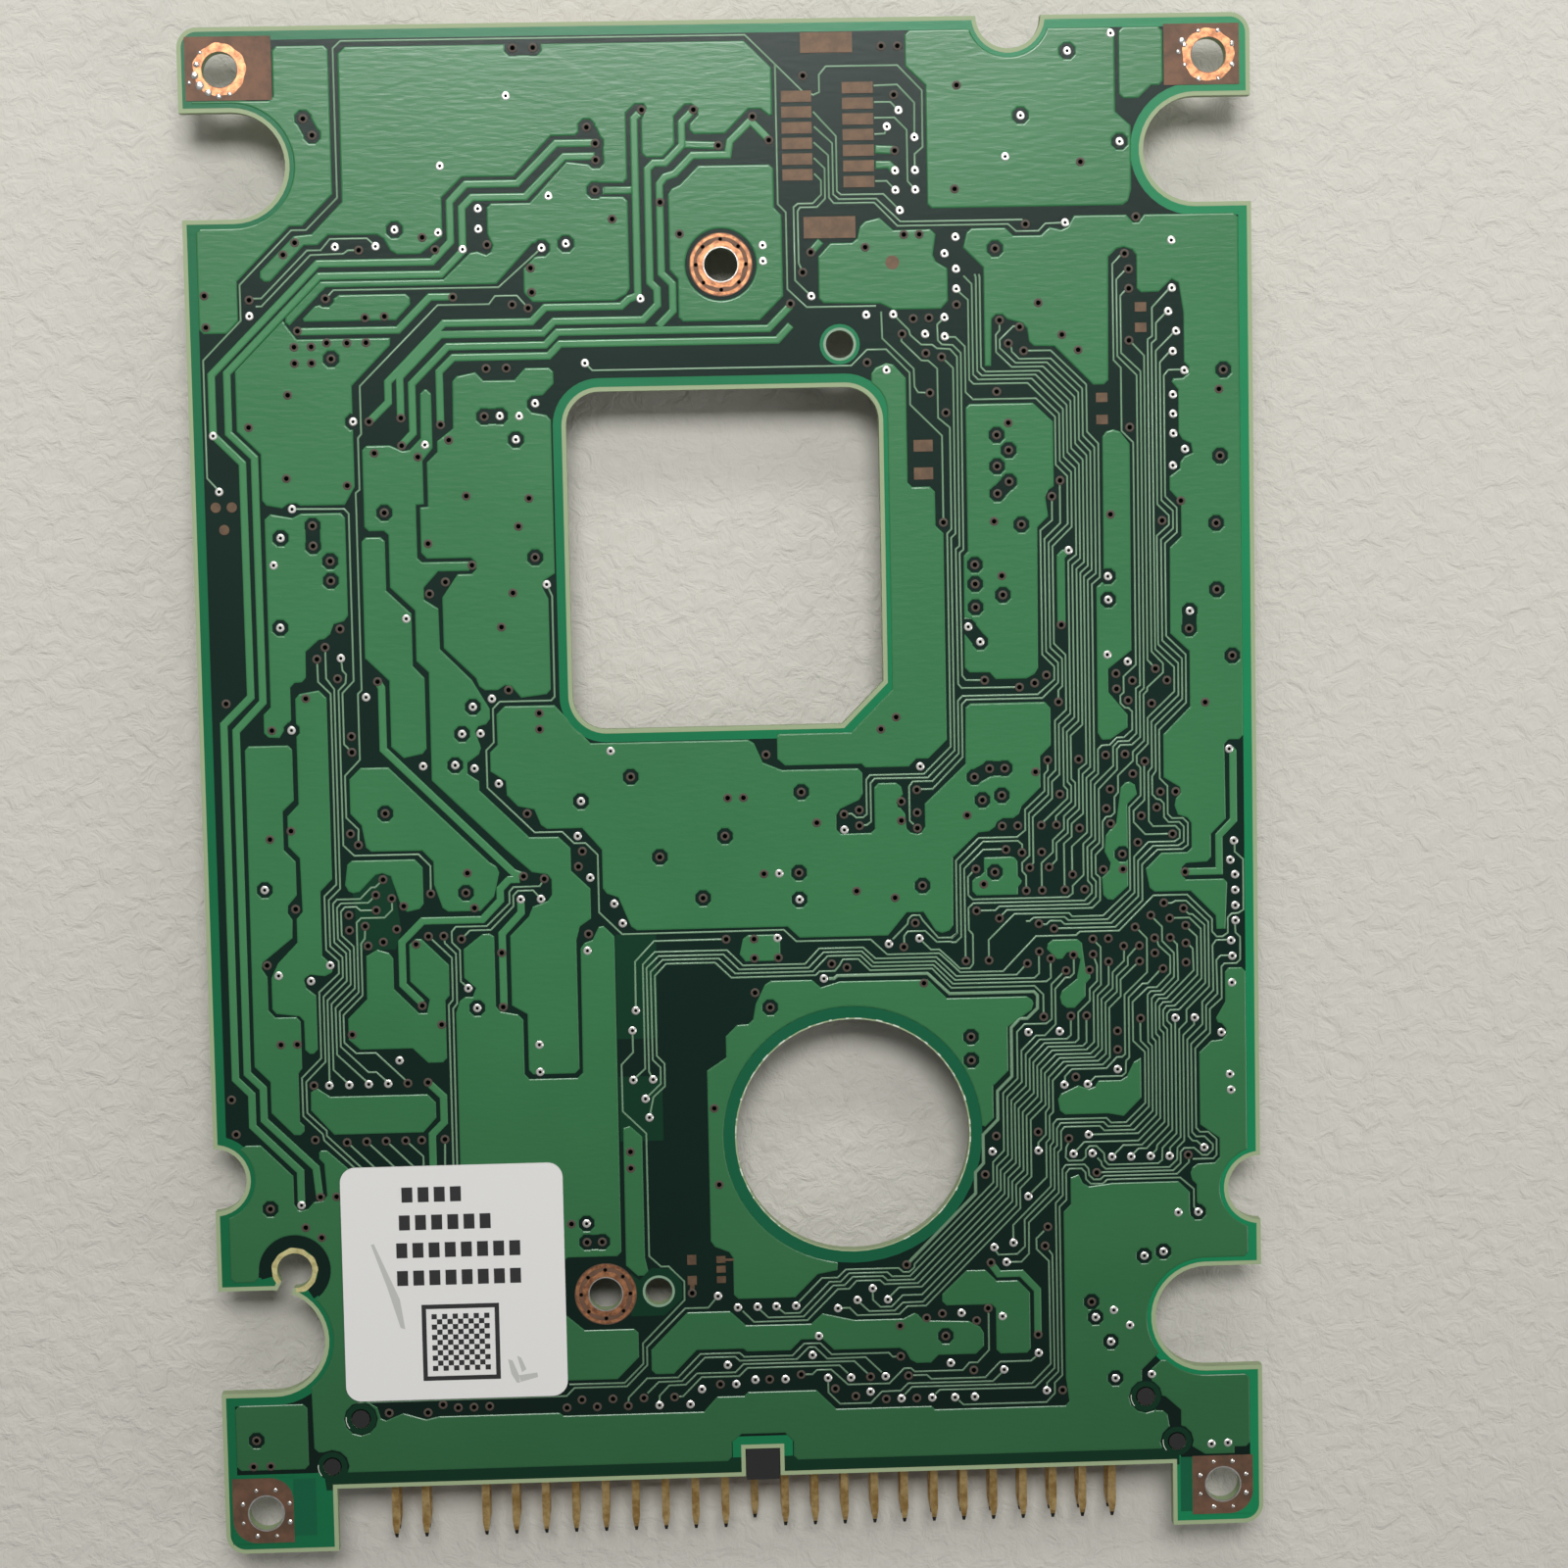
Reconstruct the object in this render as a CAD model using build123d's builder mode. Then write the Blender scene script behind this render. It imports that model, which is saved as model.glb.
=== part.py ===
from build123d import *
import os

# Controller board of a 2.5 inch laptop hard drive, lying with its solder side up.
#
# X runs across the board, +Y points away from the pin header, +Z up. The origin is the middle of
# the bare outline, and z = 0 is the surface that the header and the socket stand on.

os.makedirs("parts", exist_ok=True)

# ---------------------------------------------------------------- driving dimensions, mm
BOARD_W = 69.0
BOARD_H = 99.6
BOARD_T = 1.0
STAND = 3.9  # board's underside above the surface: height of the header housing
TOP = STAND + BOARD_T
COPPER_T = 0.05  # copper foil with the solder mask over it
CORNER_R = 1.3

# screws of the form factor: bottom-mount pattern, and one more pair inside
SCREW_X = 31.8
SCREW_Y = 47.1
SCREW_R = 1.13
INNER_SCREWS = [(0.0, 34.2), (-9.05, -33.05)]
INNER_SCREW_R = 1.08
INNER_RING_R = 2.05
LOCATING_HOLES = [(7.6, 28.95), (-5.55, -32.97)]
LOCATING_R = 0.9

# cut-outs
WINDOW_X = (-10.25, 10.05)
WINDOW_Y = (4.3, 26.2)
WINDOW_R = 2.2
WINDOW_CHAMFER = 2.75
SPINDLE = (7.5, -22.87)
SPINDLE_R = 7.7
# (side, y, radius, how far the round's centre stands in from the edge)
SIDE_NOTCHES = [
    (-1, 41.0, 3.4, 3.3),
    (1, 41.1, 3.4, 3.6),
    (-1, -35.6, 3.43, 3.47),
    (1, -35.7, 3.4, 3.7),
    (-1, -24.78, 2.1, 0.0),
    (1, -27.1, 2.15, 0.0),
]
TOP_NOTCH_X = 18.85
TOP_NOTCH_R = 2.1
BAY_X = (-27.1, 28.45)  # pin bay between the two bottom tabs
BAY_TOP = -45.6
KEY_X = (-0.05, 2.25)  # polarising slot over the missing pin's key
KEY_TOP = -43.75
KEYHOLE = (-29.44, -30.9)
KEYHOLE_R = 1.15
SLIT_END = (-30.75, -33.4)
SLIT_W = 0.9

# bare margins that the copper keeps from each kind of edge
EDGE_MARGIN = 0.85
CUT_MARGIN = 0.55

# header: 22 columns of pins at 2 mm, and a 2 x 2 block of jumper pins
PITCH = 2.0
FIRST_PIN_X = -17.42
COLUMNS = 22
KEY_COLUMN = 9
JUMPER_COLUMNS = (-3, -2)
PIN_W = 0.5
PIN_TIP_Y = -49.6
ROW_Z = (STAND - 0.95, STAND - 2.95)
HOUSING_X = (-28.9, 30.2)
HOUSING_Y = (-45.85, -40.0)
PEGS = [(-25.4, -40.95, 0.6), (26.68, -41.0, 0.6), (-27.37, -44.1, 0.56), (28.75, -44.1, 0.56)]
PEG_SIDES = 12
PEG_GAP = 0.06
PEG_PROUD = 0.1  # how far the pegs stand out of the board
PEG_CLEARANCE_R = 1.1

# ---------------------------------------------------------------- helpers


def rectangle(x_range, y_range, grow=0.0, mode=Mode.ADD):
    """Axis-aligned rectangle between two pairs of limits, grown all round"""
    middle = ((x_range[0] + x_range[1]) / 2, (y_range[0] + y_range[1]) / 2)
    with Locations(middle):
        Rectangle(x_range[1] - x_range[0] + 2 * grow, y_range[1] - y_range[0] + 2 * grow, mode=mode)


def board_shape(edge=0.0, cut=0.0):
    """Outline of the board, pulled in by edge outside and by cut round each opening"""
    far = BOARD_W
    with BuildSketch() as shape:
        RectangleRounded(BOARD_W - 2 * edge, BOARD_H - 2 * edge, CORNER_R)
        for side, y, radius, reach in SIDE_NOTCHES:
            centre_x = side * (BOARD_W / 2 - reach)
            with Locations((centre_x, y)):
                Circle(radius + cut, mode=Mode.SUBTRACT)
            if reach:
                with Locations((centre_x + side * far / 2, y)):
                    Rectangle(far, 2 * (radius + cut), mode=Mode.SUBTRACT)
        with Locations((TOP_NOTCH_X, BOARD_H / 2)):
            Circle(TOP_NOTCH_R + cut, mode=Mode.SUBTRACT)
        rectangle(BAY_X, (-BOARD_H, BAY_TOP), cut, Mode.SUBTRACT)
        rectangle(KEY_X, (-BOARD_H, KEY_TOP), cut, Mode.SUBTRACT)
        with Locations(SPINDLE):
            Circle(SPINDLE_R + edge, mode=Mode.SUBTRACT)
        x0, x1 = WINDOW_X[0] - cut, WINDOW_X[1] + cut
        y0, y1 = WINDOW_Y[0] - cut, WINDOW_Y[1] + cut
        with BuildSketch(mode=Mode.PRIVATE) as window:
            with BuildLine():
                Polyline(
                    (x0, y0),
                    (x1 - WINDOW_CHAMFER, y0),
                    (x1, y0 + WINDOW_CHAMFER),
                    (x1, y1),
                    (x0, y1),
                    close=True,
                )
            make_face()
            corners = window.vertices()
            fillet(corners.filter_by(lambda v: v.Y > y1 - 1 or v.X < x0 + 1), WINDOW_R)
        add(window.sketch, mode=Mode.SUBTRACT)
    return shape.sketch


def polygon(points, mode=Mode.ADD):
    """Closed straight-sided face through the points"""
    Polygon(*points, align=None, mode=mode)


def ribbon(points, width):
    """Corner points of a track of one width that follows the points, mitred at each bend"""
    left, right = [], []
    for index, point in enumerate(points):
        here = Vector(*point)
        before = Vector(*points[max(index - 1, 0)])
        after = Vector(*points[min(index + 1, len(points) - 1)])
        ahead = (after - here).normalized() if index < len(points) - 1 else (here - before).normalized()
        behind = (here - before).normalized() if index else ahead
        side = Vector(-(ahead.Y + behind.Y), ahead.X + behind.X).normalized()
        reach = width / 2 / max(0.35, side.dot(Vector(-ahead.Y, ahead.X)))
        left.append((here.X + side.X * reach, here.Y + side.Y * reach))
        right.append((here.X - side.X * reach, here.Y - side.Y * reach))
    return left + right[::-1]


def save(builder, label):
    """Name a finished piece and write it out"""
    builder.part.label = label
    export_step(builder.part, f"parts/{label}.step")


# ---------------------------------------------------------------- bare board

KEYHOLE_CUT = ribbon([KEYHOLE, SLIT_END], SLIT_W)

with BuildPart() as board:
    with BuildSketch(Plane.XY.offset(STAND)):
        add(board_shape())
        with Locations(*[(x, y) for x in (-SCREW_X, SCREW_X) for y in (-SCREW_Y, SCREW_Y)]):
            Circle(SCREW_R, mode=Mode.SUBTRACT)
        with Locations(*INNER_SCREWS):
            Circle(INNER_SCREW_R, mode=Mode.SUBTRACT)
        with Locations(*LOCATING_HOLES):
            Circle(LOCATING_R, mode=Mode.SUBTRACT)
        with Locations(KEYHOLE):
            Circle(KEYHOLE_R, mode=Mode.SUBTRACT)
        polygon(KEYHOLE_CUT, Mode.SUBTRACT)
        for x, y, radius in PEGS:
            with Locations((x, y)):
                RegularPolygon(radius + PEG_GAP, PEG_SIDES, mode=Mode.SUBTRACT)
    extrude(amount=BOARD_T)
save(board, "board")

# ---------------------------------------------------------------- copper on the solder side
# Each pour is one plate of copper under green mask. Where a pour follows a board edge its points
# run past that edge, and the margin cuts it.

EAST, WEST, NORTH = 36.0, -36.0, 51.0

MOTOR_POURS = [
    # strip beside the top left notch
    [(-28.45, 48.55), (-24.85, 48.55), (-24.85, 39.1), (-26.85, 37.1), (-27.67, 37.1),
     (-31.13, 33.63), (-31.13, 31.1), (-31.9, 30.33), (WEST, 30.33), (WEST, 45.1), (-28.45, 45.1)],
    # top left field, with the cut that its two wide tracks run in
    [(-24.27, 48.0), (-23.8, 48.44), (1.8, 48.44), (3.53, 46.7), (3.53, 43.44), (2.76, 44.08),
     (2.0, 44.08), (0.45, 42.54), (-1.85, 42.54), (-1.85, 43.2), (-1.1, 43.95), (-1.9, 44.62),
     (-2.8, 43.7), (-2.8, 41.9), (-3.6, 41.1), (-4.95, 41.1), (-4.95, 43.5), (-4.5, 44.5),
     (-5.3, 44.5), (-5.9, 43.95), (-5.9, 39.5), (-8.1, 39.55), (-8.3, 38.7), (-5.9, 38.65),
     (-5.9, 32.5), (-6.9, 32.0), (-12.2, 32.0), (-12.74, 32.6), (-12.74, 34.15), (-12.0, 34.9),
     (-11.1, 35.1), (-11.05, 35.75), (-12.1, 35.75), (-14.5, 33.2), (-25.45, 33.17),
     (-27.85, 30.77), (-28.3, 31.1), (-25.8, 33.58), (-17.9, 33.58), (-15.95, 35.42),
     (-15.1, 35.1), (-14.56, 35.4), (-15.0, 36.4), (-15.0, 38.37), (-12.23, 38.37), (-9.8, 40.94),
     (-7.6, 40.65), (-7.46, 42.15), (-7.95, 43.3), (-8.9, 43.3), (-8.9, 42.58), (-10.76, 42.56),
     (-13.2, 40.04), (-16.53, 40.04), (-17.86, 38.75), (-17.86, 36.3), (-19.33, 35.2),
     (-21.1, 35.2), (-21.8, 36.47), (-25.2, 36.5), (-25.9, 35.87), (-26.77, 35.87), (-29.2, 33.4),
     (-29.85, 34.05), (-27.4, 36.5), (-26.26, 36.6), (-24.27, 38.6)],
    # small field between the bends of the wide tracks
    [(-24.9, 32.7), (-20.06, 32.7), (-20.06, 32.0), (-21.0, 31.0), (-27.2, 31.0), (-26.0, 32.2),
     (-25.2, 31.95)],
    # field left of the window
    [(-27.4, 29.9), (-21.4, 29.9), (-21.45, 29.4), (-23.97, 26.83), (-23.97, 20.36),
     (-24.65, 19.2), (-27.5, 19.2), (-28.05, 19.5), (-28.7, 19.05), (-29.97, 19.3),
     (-29.97, 22.55), (-31.45, 24.05), (-31.45, 27.92), (-28.3, 31.1)],
    [(-29.85, 18.37), (-29.46, 18.72), (-28.05, 18.45), (-27.5, 18.72), (-24.9, 18.72),
     (-24.65, 18.37), (-24.65, 11.77), (-25.6, 11.5), (-25.95, 10.6), (-26.6, 10.5),
     (-27.47, 9.75), (-27.5, 7.8), (-28.53, 7.73), (-28.53, 5.36), (-29.33, 4.2), (-30.32, 4.25),
     (-30.32, 5.74), (-29.85, 6.2)],
    # ladder of fields down the left side
    [(-28.24, 7.0), (-26.7, 7.26), (-26.2, 6.75), (-26.2, -5.1), (-26.99, -5.9), (-26.99, -10.1),
     (-26.2, -10.86), (-26.6, -11.5), (-28.1, -11.3), (-28.3, -12.0), (-27.47, -12.7),
     (-27.47, -16.56), (-28.3, -16.56), (-28.33, -14.1), (-30.1, -13.87), (-30.36, -13.55),
     (-30.36, -11.5), (-29.9, -10.54), (-28.6, -9.2), (-28.6, -7.65), (-28.2, -7.2),
     (-28.27, -3.68), (-28.99, -2.9), (-28.99, -0.92), (-28.24, -0.15)],
    [(-31.6, 3.44), (-31.36, 3.72), (-28.8, 3.72), (-28.53, 3.44), (-28.53, 0.1), (-29.27, -0.6),
     (-29.27, -3.1), (-28.53, -3.87), (-28.53, -6.1), (-29.3, -7.0), (-28.85, -7.7),
     (-28.9, -8.9), (-31.1, -10.65), (-30.6, -11.4), (-30.6, -13.6), (-30.17, -14.08),
     (-28.8, -14.08), (-28.53, -14.4), (-28.53, -17.5), (-28.78, -17.85), (-28.78, -21.0),
     (-28.3, -21.5), (-29.0, -22.1), (-30.64, -20.4), (-30.64, -18.36), (-31.64, -17.33)],
    # fields round the motor driver
    [(-23.65, 17.1), (-22.13, 17.1), (-22.13, 13.63), (-20.55, 12.1), (-20.55, 8.7),
     (-19.82, 7.9), (-19.82, 3.0), (-21.32, 2.7), (-22.12, 3.45), (-22.12, 7.75), (-23.65, 9.25)],
    [(-24.14, 2.15), (-22.35, 2.15), (-15.95, -4.2), (-15.25, -4.65), (-15.7, -6.5),
     (-16.6, -7.42), (-19.0, -7.42), (-19.6, -5.6), (-19.6, -4.13), (-20.3, -3.38),
     (-23.9, -3.36), (-24.2, -1.63), (-24.9, -0.86), (-24.9, 1.4)],
    [(-25.17, -3.9), (-20.8, -3.9), (-20.3, -4.45), (-20.3, -7.14), (-21.64, -7.42),
     (-22.4, -5.0), (-23.2, -4.7), (-24.65, -6.18), (-25.42, -5.8)],
    [(-24.15, -10.2), (-23.4, -9.77), (-22.38, -10.1), (-22.38, -12.4), (-20.8, -14.03),
     (-20.3, -14.03), (-20.1, -13.17), (-21.33, -11.95), (-21.33, -9.5), (-20.7, -8.95),
     (-18.76, -10.9), (-18.78, -12.95), (-19.06, -13.25), (-19.06, -17.35), (-20.3, -17.35),
     (-21.3, -16.37), (-24.7, -16.37), (-25.45, -15.7), (-25.45, -14.3), (-24.18, -13.04)],
    [(-28.03, -19.1), (-27.6, -18.8), (-26.75, -19.4), (-20.4, -19.4), (-19.87, -19.96),
     (-19.87, -21.0), (-20.75, -21.95), (-26.58, -21.95), (-28.05, -20.3)],
]

LOGIC_POURS = [
    # long field that runs from the window's left side to the lower middle
    [(-23.44, 23.0), (-21.64, 23.0), (-20.55, 22.5), (-19.65, 23.4), (-19.6, 26.55),
     (-18.88, 26.55), (-18.88, 22.75), (-19.55, 21.95), (-19.55, 19.14), (-20.06, 19.1),
     (-20.06, 15.42), (-16.5, 15.42), (-16.5, 14.78), (-18.76, 14.78), (-19.7, 13.75),
     (-19.7, 13.0), (-18.8, 12.4), (-18.76, 9.75), (-16.75, 7.7), (-15.65, 5.8), (-15.65, 4.85),
     (-16.7, 4.6), (-16.2, 3.0), (-17.2, 2.3), (-17.2, 1.6), (-16.46, 1.1), (-16.46, 0.5),
     (-13.3, -2.63), (-11.4, -2.65), (-10.63, -3.42), (-10.63, -4.9), (-9.4, -6.1), (-9.4, -8.1),
     (-10.15, -8.6), (-10.4, -9.5), (-10.4, -18.0), (-10.7, -18.3), (-13.45, -18.3),
     (-13.73, -18.0), (-13.73, -14.3), (-14.73, -13.7), (-14.73, -9.1), (-13.47, -7.85),
     (-13.2, -7.2), (-11.94, -6.75), (-11.94, -5.18), (-13.2, -4.95), (-14.9, -3.4),
     (-19.55, 1.2), (-19.55, 8.24), (-20.33, 9.0), (-20.33, 12.28), (-21.9, 13.8), (-21.9, 17.47),
     (-23.44, 17.47)],
    # field in the window's top left corner
    [(-17.5, 27.3), (-16.0, 27.6), (-15.5, 27.05), (-13.5, 27.05), (-12.8, 27.8), (-10.97, 27.8),
     (-10.97, 26.75), (-11.7, 26.0), (-12.7, 25.95), (-12.7, 25.0), (-11.2, 24.7), (-11.2, 14.5),
     (-12.15, 13.9), (-11.65, 12.86), (-11.65, 6.7), (-13.6, 6.47), (-14.4, 7.45), (-15.1, 7.0),
     (-16.2, 7.0), (-16.5, 7.8), (-18.53, 9.8), (-18.54, 13.1), (-17.5, 14.6), (-16.3, 14.6),
     (-16.35, 15.62), (-19.45, 15.62), (-19.82, 16.0), (-19.82, 18.95), (-19.3, 19.0),
     (-19.3, 21.83), (-18.6, 22.5), (-18.6, 23.2), (-17.55, 24.0)],
    # field under the window
    [(-15.24, 5.42), (-14.7, 5.96), (-11.44, 5.96), (-9.15, 3.42), (1.4, 3.42), (2.05, 1.9),
     (3.3, 1.38), (8.27, 1.38), (8.56, 1.06), (8.56, -0.6), (6.8, -1.4), (6.8, -2.9),
     (9.04, -2.88), (9.3, -2.65), (9.3, 0.1), (9.58, 0.38), (11.03, 0.38), (11.2, -0.4),
     (10.6, -1.15), (11.3, -1.4), (11.4, -2.65), (11.85, -3.12), (12.6, -2.85), (12.6, -1.05),
     (15.32, 1.5), (15.38, 5.2), (15.7, 5.46), (20.6, 5.46), (20.97, 5.05), (20.97, 2.6),
     (20.25, 1.88), (20.25, -0.15), (18.97, -1.4), (18.7, -2.15), (17.44, -2.15), (17.1, -2.95),
     (16.1, -3.05), (14.42, -4.64), (14.36, -9.4), (13.35, -9.7), (12.4, -8.2), (11.3, -8.2),
     (10.05, -9.7), (4.23, -9.7), (3.45, -8.95), (-6.7, -8.95), (-7.6, -6.75), (-8.6, -6.4),
     (-8.6, -3.6), (-9.85, -2.14), (-12.42, -2.14), (-12.94, -0.85), (-14.0, -0.62),
     (-14.7, 0.13), (-14.75, 1.05), (-15.72, 1.7), (-15.72, 2.95), (-15.22, 3.44)],
    # lower middle field, under the label
    [(-16.3, -8.75), (-15.76, -9.1), (-15.76, -14.0), (-14.35, -14.28), (-14.0, -14.65),
     (-14.0, -18.25), (-13.7, -18.58), (-10.55, -18.58), (-10.2, -18.25), (-10.15, -9.77),
     (-9.35, -9.48), (-8.8, -8.38), (-7.9, -9.3), (-7.95, -30.55), (-11.8, -30.55),
     (-11.8, -34.3), (-10.5, -35.42), (-6.95, -35.42), (-6.95, -37.35), (-8.4, -38.8),
     (-18.4, -38.8), (-18.4, -14.1), (-18.05, -13.04), (-17.28, -13.04), (-17.05, -12.5),
     (-17.8, -11.8), (-17.8, -9.9)],
    [(-7.65, -22.0), (-7.2, -21.86), (-6.4, -22.6), (-6.4, -30.7), (-6.2, -31.6), (-6.7, -32.1),
     (-7.68, -31.2)],
    # round the spindle hole
    [(2.0, -12.48), (4.97, -12.48), (5.55, -13.0), (6.8, -12.63), (12.6, -12.65), (13.85, -13.93),
     (19.4, -13.93), (19.67, -14.7), (17.85, -15.95), (17.85, -18.87), (16.83, -19.85),
     (16.83, -22.0), (15.5, -23.3), (4.5, -29.0), (6.35, -31.2), (6.3, -31.9), (4.98, -32.14),
     (3.46, -33.65), (-0.3, -33.65), (-0.6, -33.36), (-0.6, -30.6), (-2.05, -30.0),
     (-2.05, -18.33), (-0.77, -17.5), (-0.77, -16.1), (0.0, -15.35), (1.0, -15.3), (1.25, -14.0)],
    [(0.55, -9.42), (2.95, -9.42), (2.95, -11.18), (0.64, -11.18), (0.26, -10.7)],
    # lower middle, between the two rows of vias
    [(-3.7, -34.42), (-0.88, -34.42), (0.15, -35.4), (4.5, -35.42), (5.25, -34.75),
     (7.37, -35.25), (10.6, -35.25), (11.6, -34.77), (11.7, -35.4), (14.95, -35.55),
     (15.95, -36.1), (15.95, -37.27), (15.4, -37.8), (12.9, -37.8), (12.4, -38.3), (11.15, -38.3),
     (10.6, -37.25), (5.96, -37.25), (5.2, -36.5), (3.8, -36.5), (3.08, -37.2), (0.2, -37.2),
     (-0.05, -37.0), (-3.13, -37.0), (-4.67, -38.55), (-6.15, -38.55), (-6.15, -36.9)],
    [(13.2, -33.7), (14.85, -32.13), (16.1, -32.13), (16.85, -32.9), (18.25, -32.9),
     (19.06, -33.75), (19.06, -37.55), (18.8, -37.83), (16.76, -37.83), (16.76, -34.5),
     (13.2, -34.48)],
]

SIGNAL_POURS = [
    # round the upper inner screw
    [(-3.32, 39.0), (-2.55, 39.35), (-1.33, 40.55), (3.53, 40.55), (3.53, 37.8), (4.0, 37.3),
     (4.0, 32.1), (2.45, 30.57), (-2.8, 30.57), (-2.8, 33.3), (-3.32, 33.9)],
    # beside the test pads
    [(6.3, 34.6), (7.1, 35.46), (8.78, 35.46), (9.1, 36.75), (10.32, 37.03), (11.2, 36.22),
     (13.6, 36.25), (13.95, 35.9), (13.7, 34.3), (14.68, 33.7), (14.68, 31.6), (14.2, 31.1),
     (11.1, 31.1), (10.3, 31.5), (6.6, 31.6), (6.3, 31.9)],
    # top right corner
    [(12.15, NORTH), (12.15, 46.65), (13.44, 45.4), (13.44, 37.56), (26.4, 37.56), (26.7, 38.56),
     (26.72, 42.67), (25.73, 43.56), (25.73, NORTH)],
    [(25.97, NORTH), (28.85, NORTH), (28.85, 45.2), (28.06, 45.2), (27.23, 44.4), (25.97, 44.4)],
    # strip right of the window
    [(9.6, 27.3), (10.85, 27.8), (11.86, 26.7), (11.86, 19.65), (13.3, 19.65), (13.63, 19.3),
     (13.63, 17.1), (14.14, 16.6), (14.14, 3.1), (12.9, 1.9), (12.1, 1.9), (11.6, 1.4),
     (8.75, 1.4), (8.5, 1.65), (3.5, 1.65), (3.0, 2.1), (3.0, 3.65), (6.0, 5.5), (9.0, 8.0),
     (9.0, 25.0), (9.6, 26.4)],
    # right side, from the top to the edge row of vias
    [(15.7, 35.0), (16.0, 36.26), (18.46, 36.26), (18.97, 35.74), (20.76, 35.74), (21.33, 36.26),
     (22.36, 36.0), (22.94, 36.96), (26.35, 36.96), (26.97, 36.25), (27.5, 36.96), (EAST, 36.96),
     (EAST, 2.7), (32.4, 2.7), (32.45, -2.5), (31.45, -3.5), (31.45, -5.3), (29.5, -5.4),
     (29.5, -6.45), (32.25, -6.45), (32.5, -6.7), (32.35, -9.8), (31.75, -9.8), (31.7, -8.9),
     (30.05, -7.23), (27.4, -7.23), (27.1, -5.67), (28.15, -4.64), (29.86, -4.64), (30.15, -4.35),
     (30.15, -2.46), (29.28, -2.18), (28.96, -1.3), (29.65, -0.5), (28.36, 0.3), (28.36, 3.15),
     (30.15, 4.95), (30.15, 8.56), (28.9, 9.75), (28.93, 15.37), (29.7, 16.1), (29.7, 18.3),
     (28.97, 19.1), (28.97, 20.0), (29.65, 20.5), (29.7, 21.2), (30.5, 21.5), (30.4, 22.1),
     (29.6, 22.5), (29.6, 25.6), (29.0, 26.35), (29.9, 26.38), (30.5, 26.85), (30.0, 27.4),
     (30.0, 30.55), (29.7, 32.5), (29.25, 32.75), (28.4, 31.95), (26.97, 31.92), (26.97, 34.6),
     (25.88, 34.95), (25.15, 34.25), (25.05, 26.03), (24.05, 26.03), (21.55, 28.56),
     (19.95, 28.6), (19.75, 30.0), (18.5, 30.36), (18.0, 30.85), (17.5, 30.4), (17.42, 27.35),
     (17.0, 27.35), (17.0, 33.7)],
    # middle field, right of the long bus
    [(15.7, 24.7), (15.95, 24.95), (20.1, 24.95), (21.4, 23.7), (21.4, 19.5), (20.8, 19.1),
     (21.0, 17.55), (20.28, 16.85), (20.2, 7.4), (19.4, 7.0), (17.4, 7.0), (17.0, 7.45),
     (15.7, 7.47), (15.38, 7.8), (15.42, 15.1), (15.7, 15.4)],
    # between the two right buses
    [(24.6, 22.95), (25.6, 23.2), (26.4, 22.15), (26.35, 8.7), (24.8, 7.5), (24.8, 6.0),
     (26.04, 4.5), (26.04, 3.65), (24.65, 2.73), (24.05, 3.05), (24.08, 12.9), (24.57, 13.3)],
    [(25.55, 0.0), (26.4, 0.15), (26.6, -0.75), (25.95, -1.4), (25.95, -6.8), (24.95, -7.7),
     (24.3, -7.65), (24.2, -6.2), (24.9, -5.5), (24.4, -4.5), (24.5, -3.15), (25.15, -2.9)],
    [(20.6, -10.22), (22.8, -10.22), (23.03, -12.1), (23.55, -12.65), (23.05, -13.2),
     (23.03, -14.05), (22.3, -14.8), (21.5, -14.8), (21.24, -13.8), (22.45, -12.85),
     (22.7, -11.6), (22.0, -10.9), (21.35, -11.75), (20.5, -10.85)],
    [(26.65, -18.2), (26.65, -20.9), (25.45, -22.1), (24.4, -21.9), (21.27, -21.9),
     (21.04, -20.6), (22.45, -19.95), (23.4, -20.3), (23.8, -19.67), (25.56, -19.67),
     (26.15, -18.5)],
]

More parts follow.
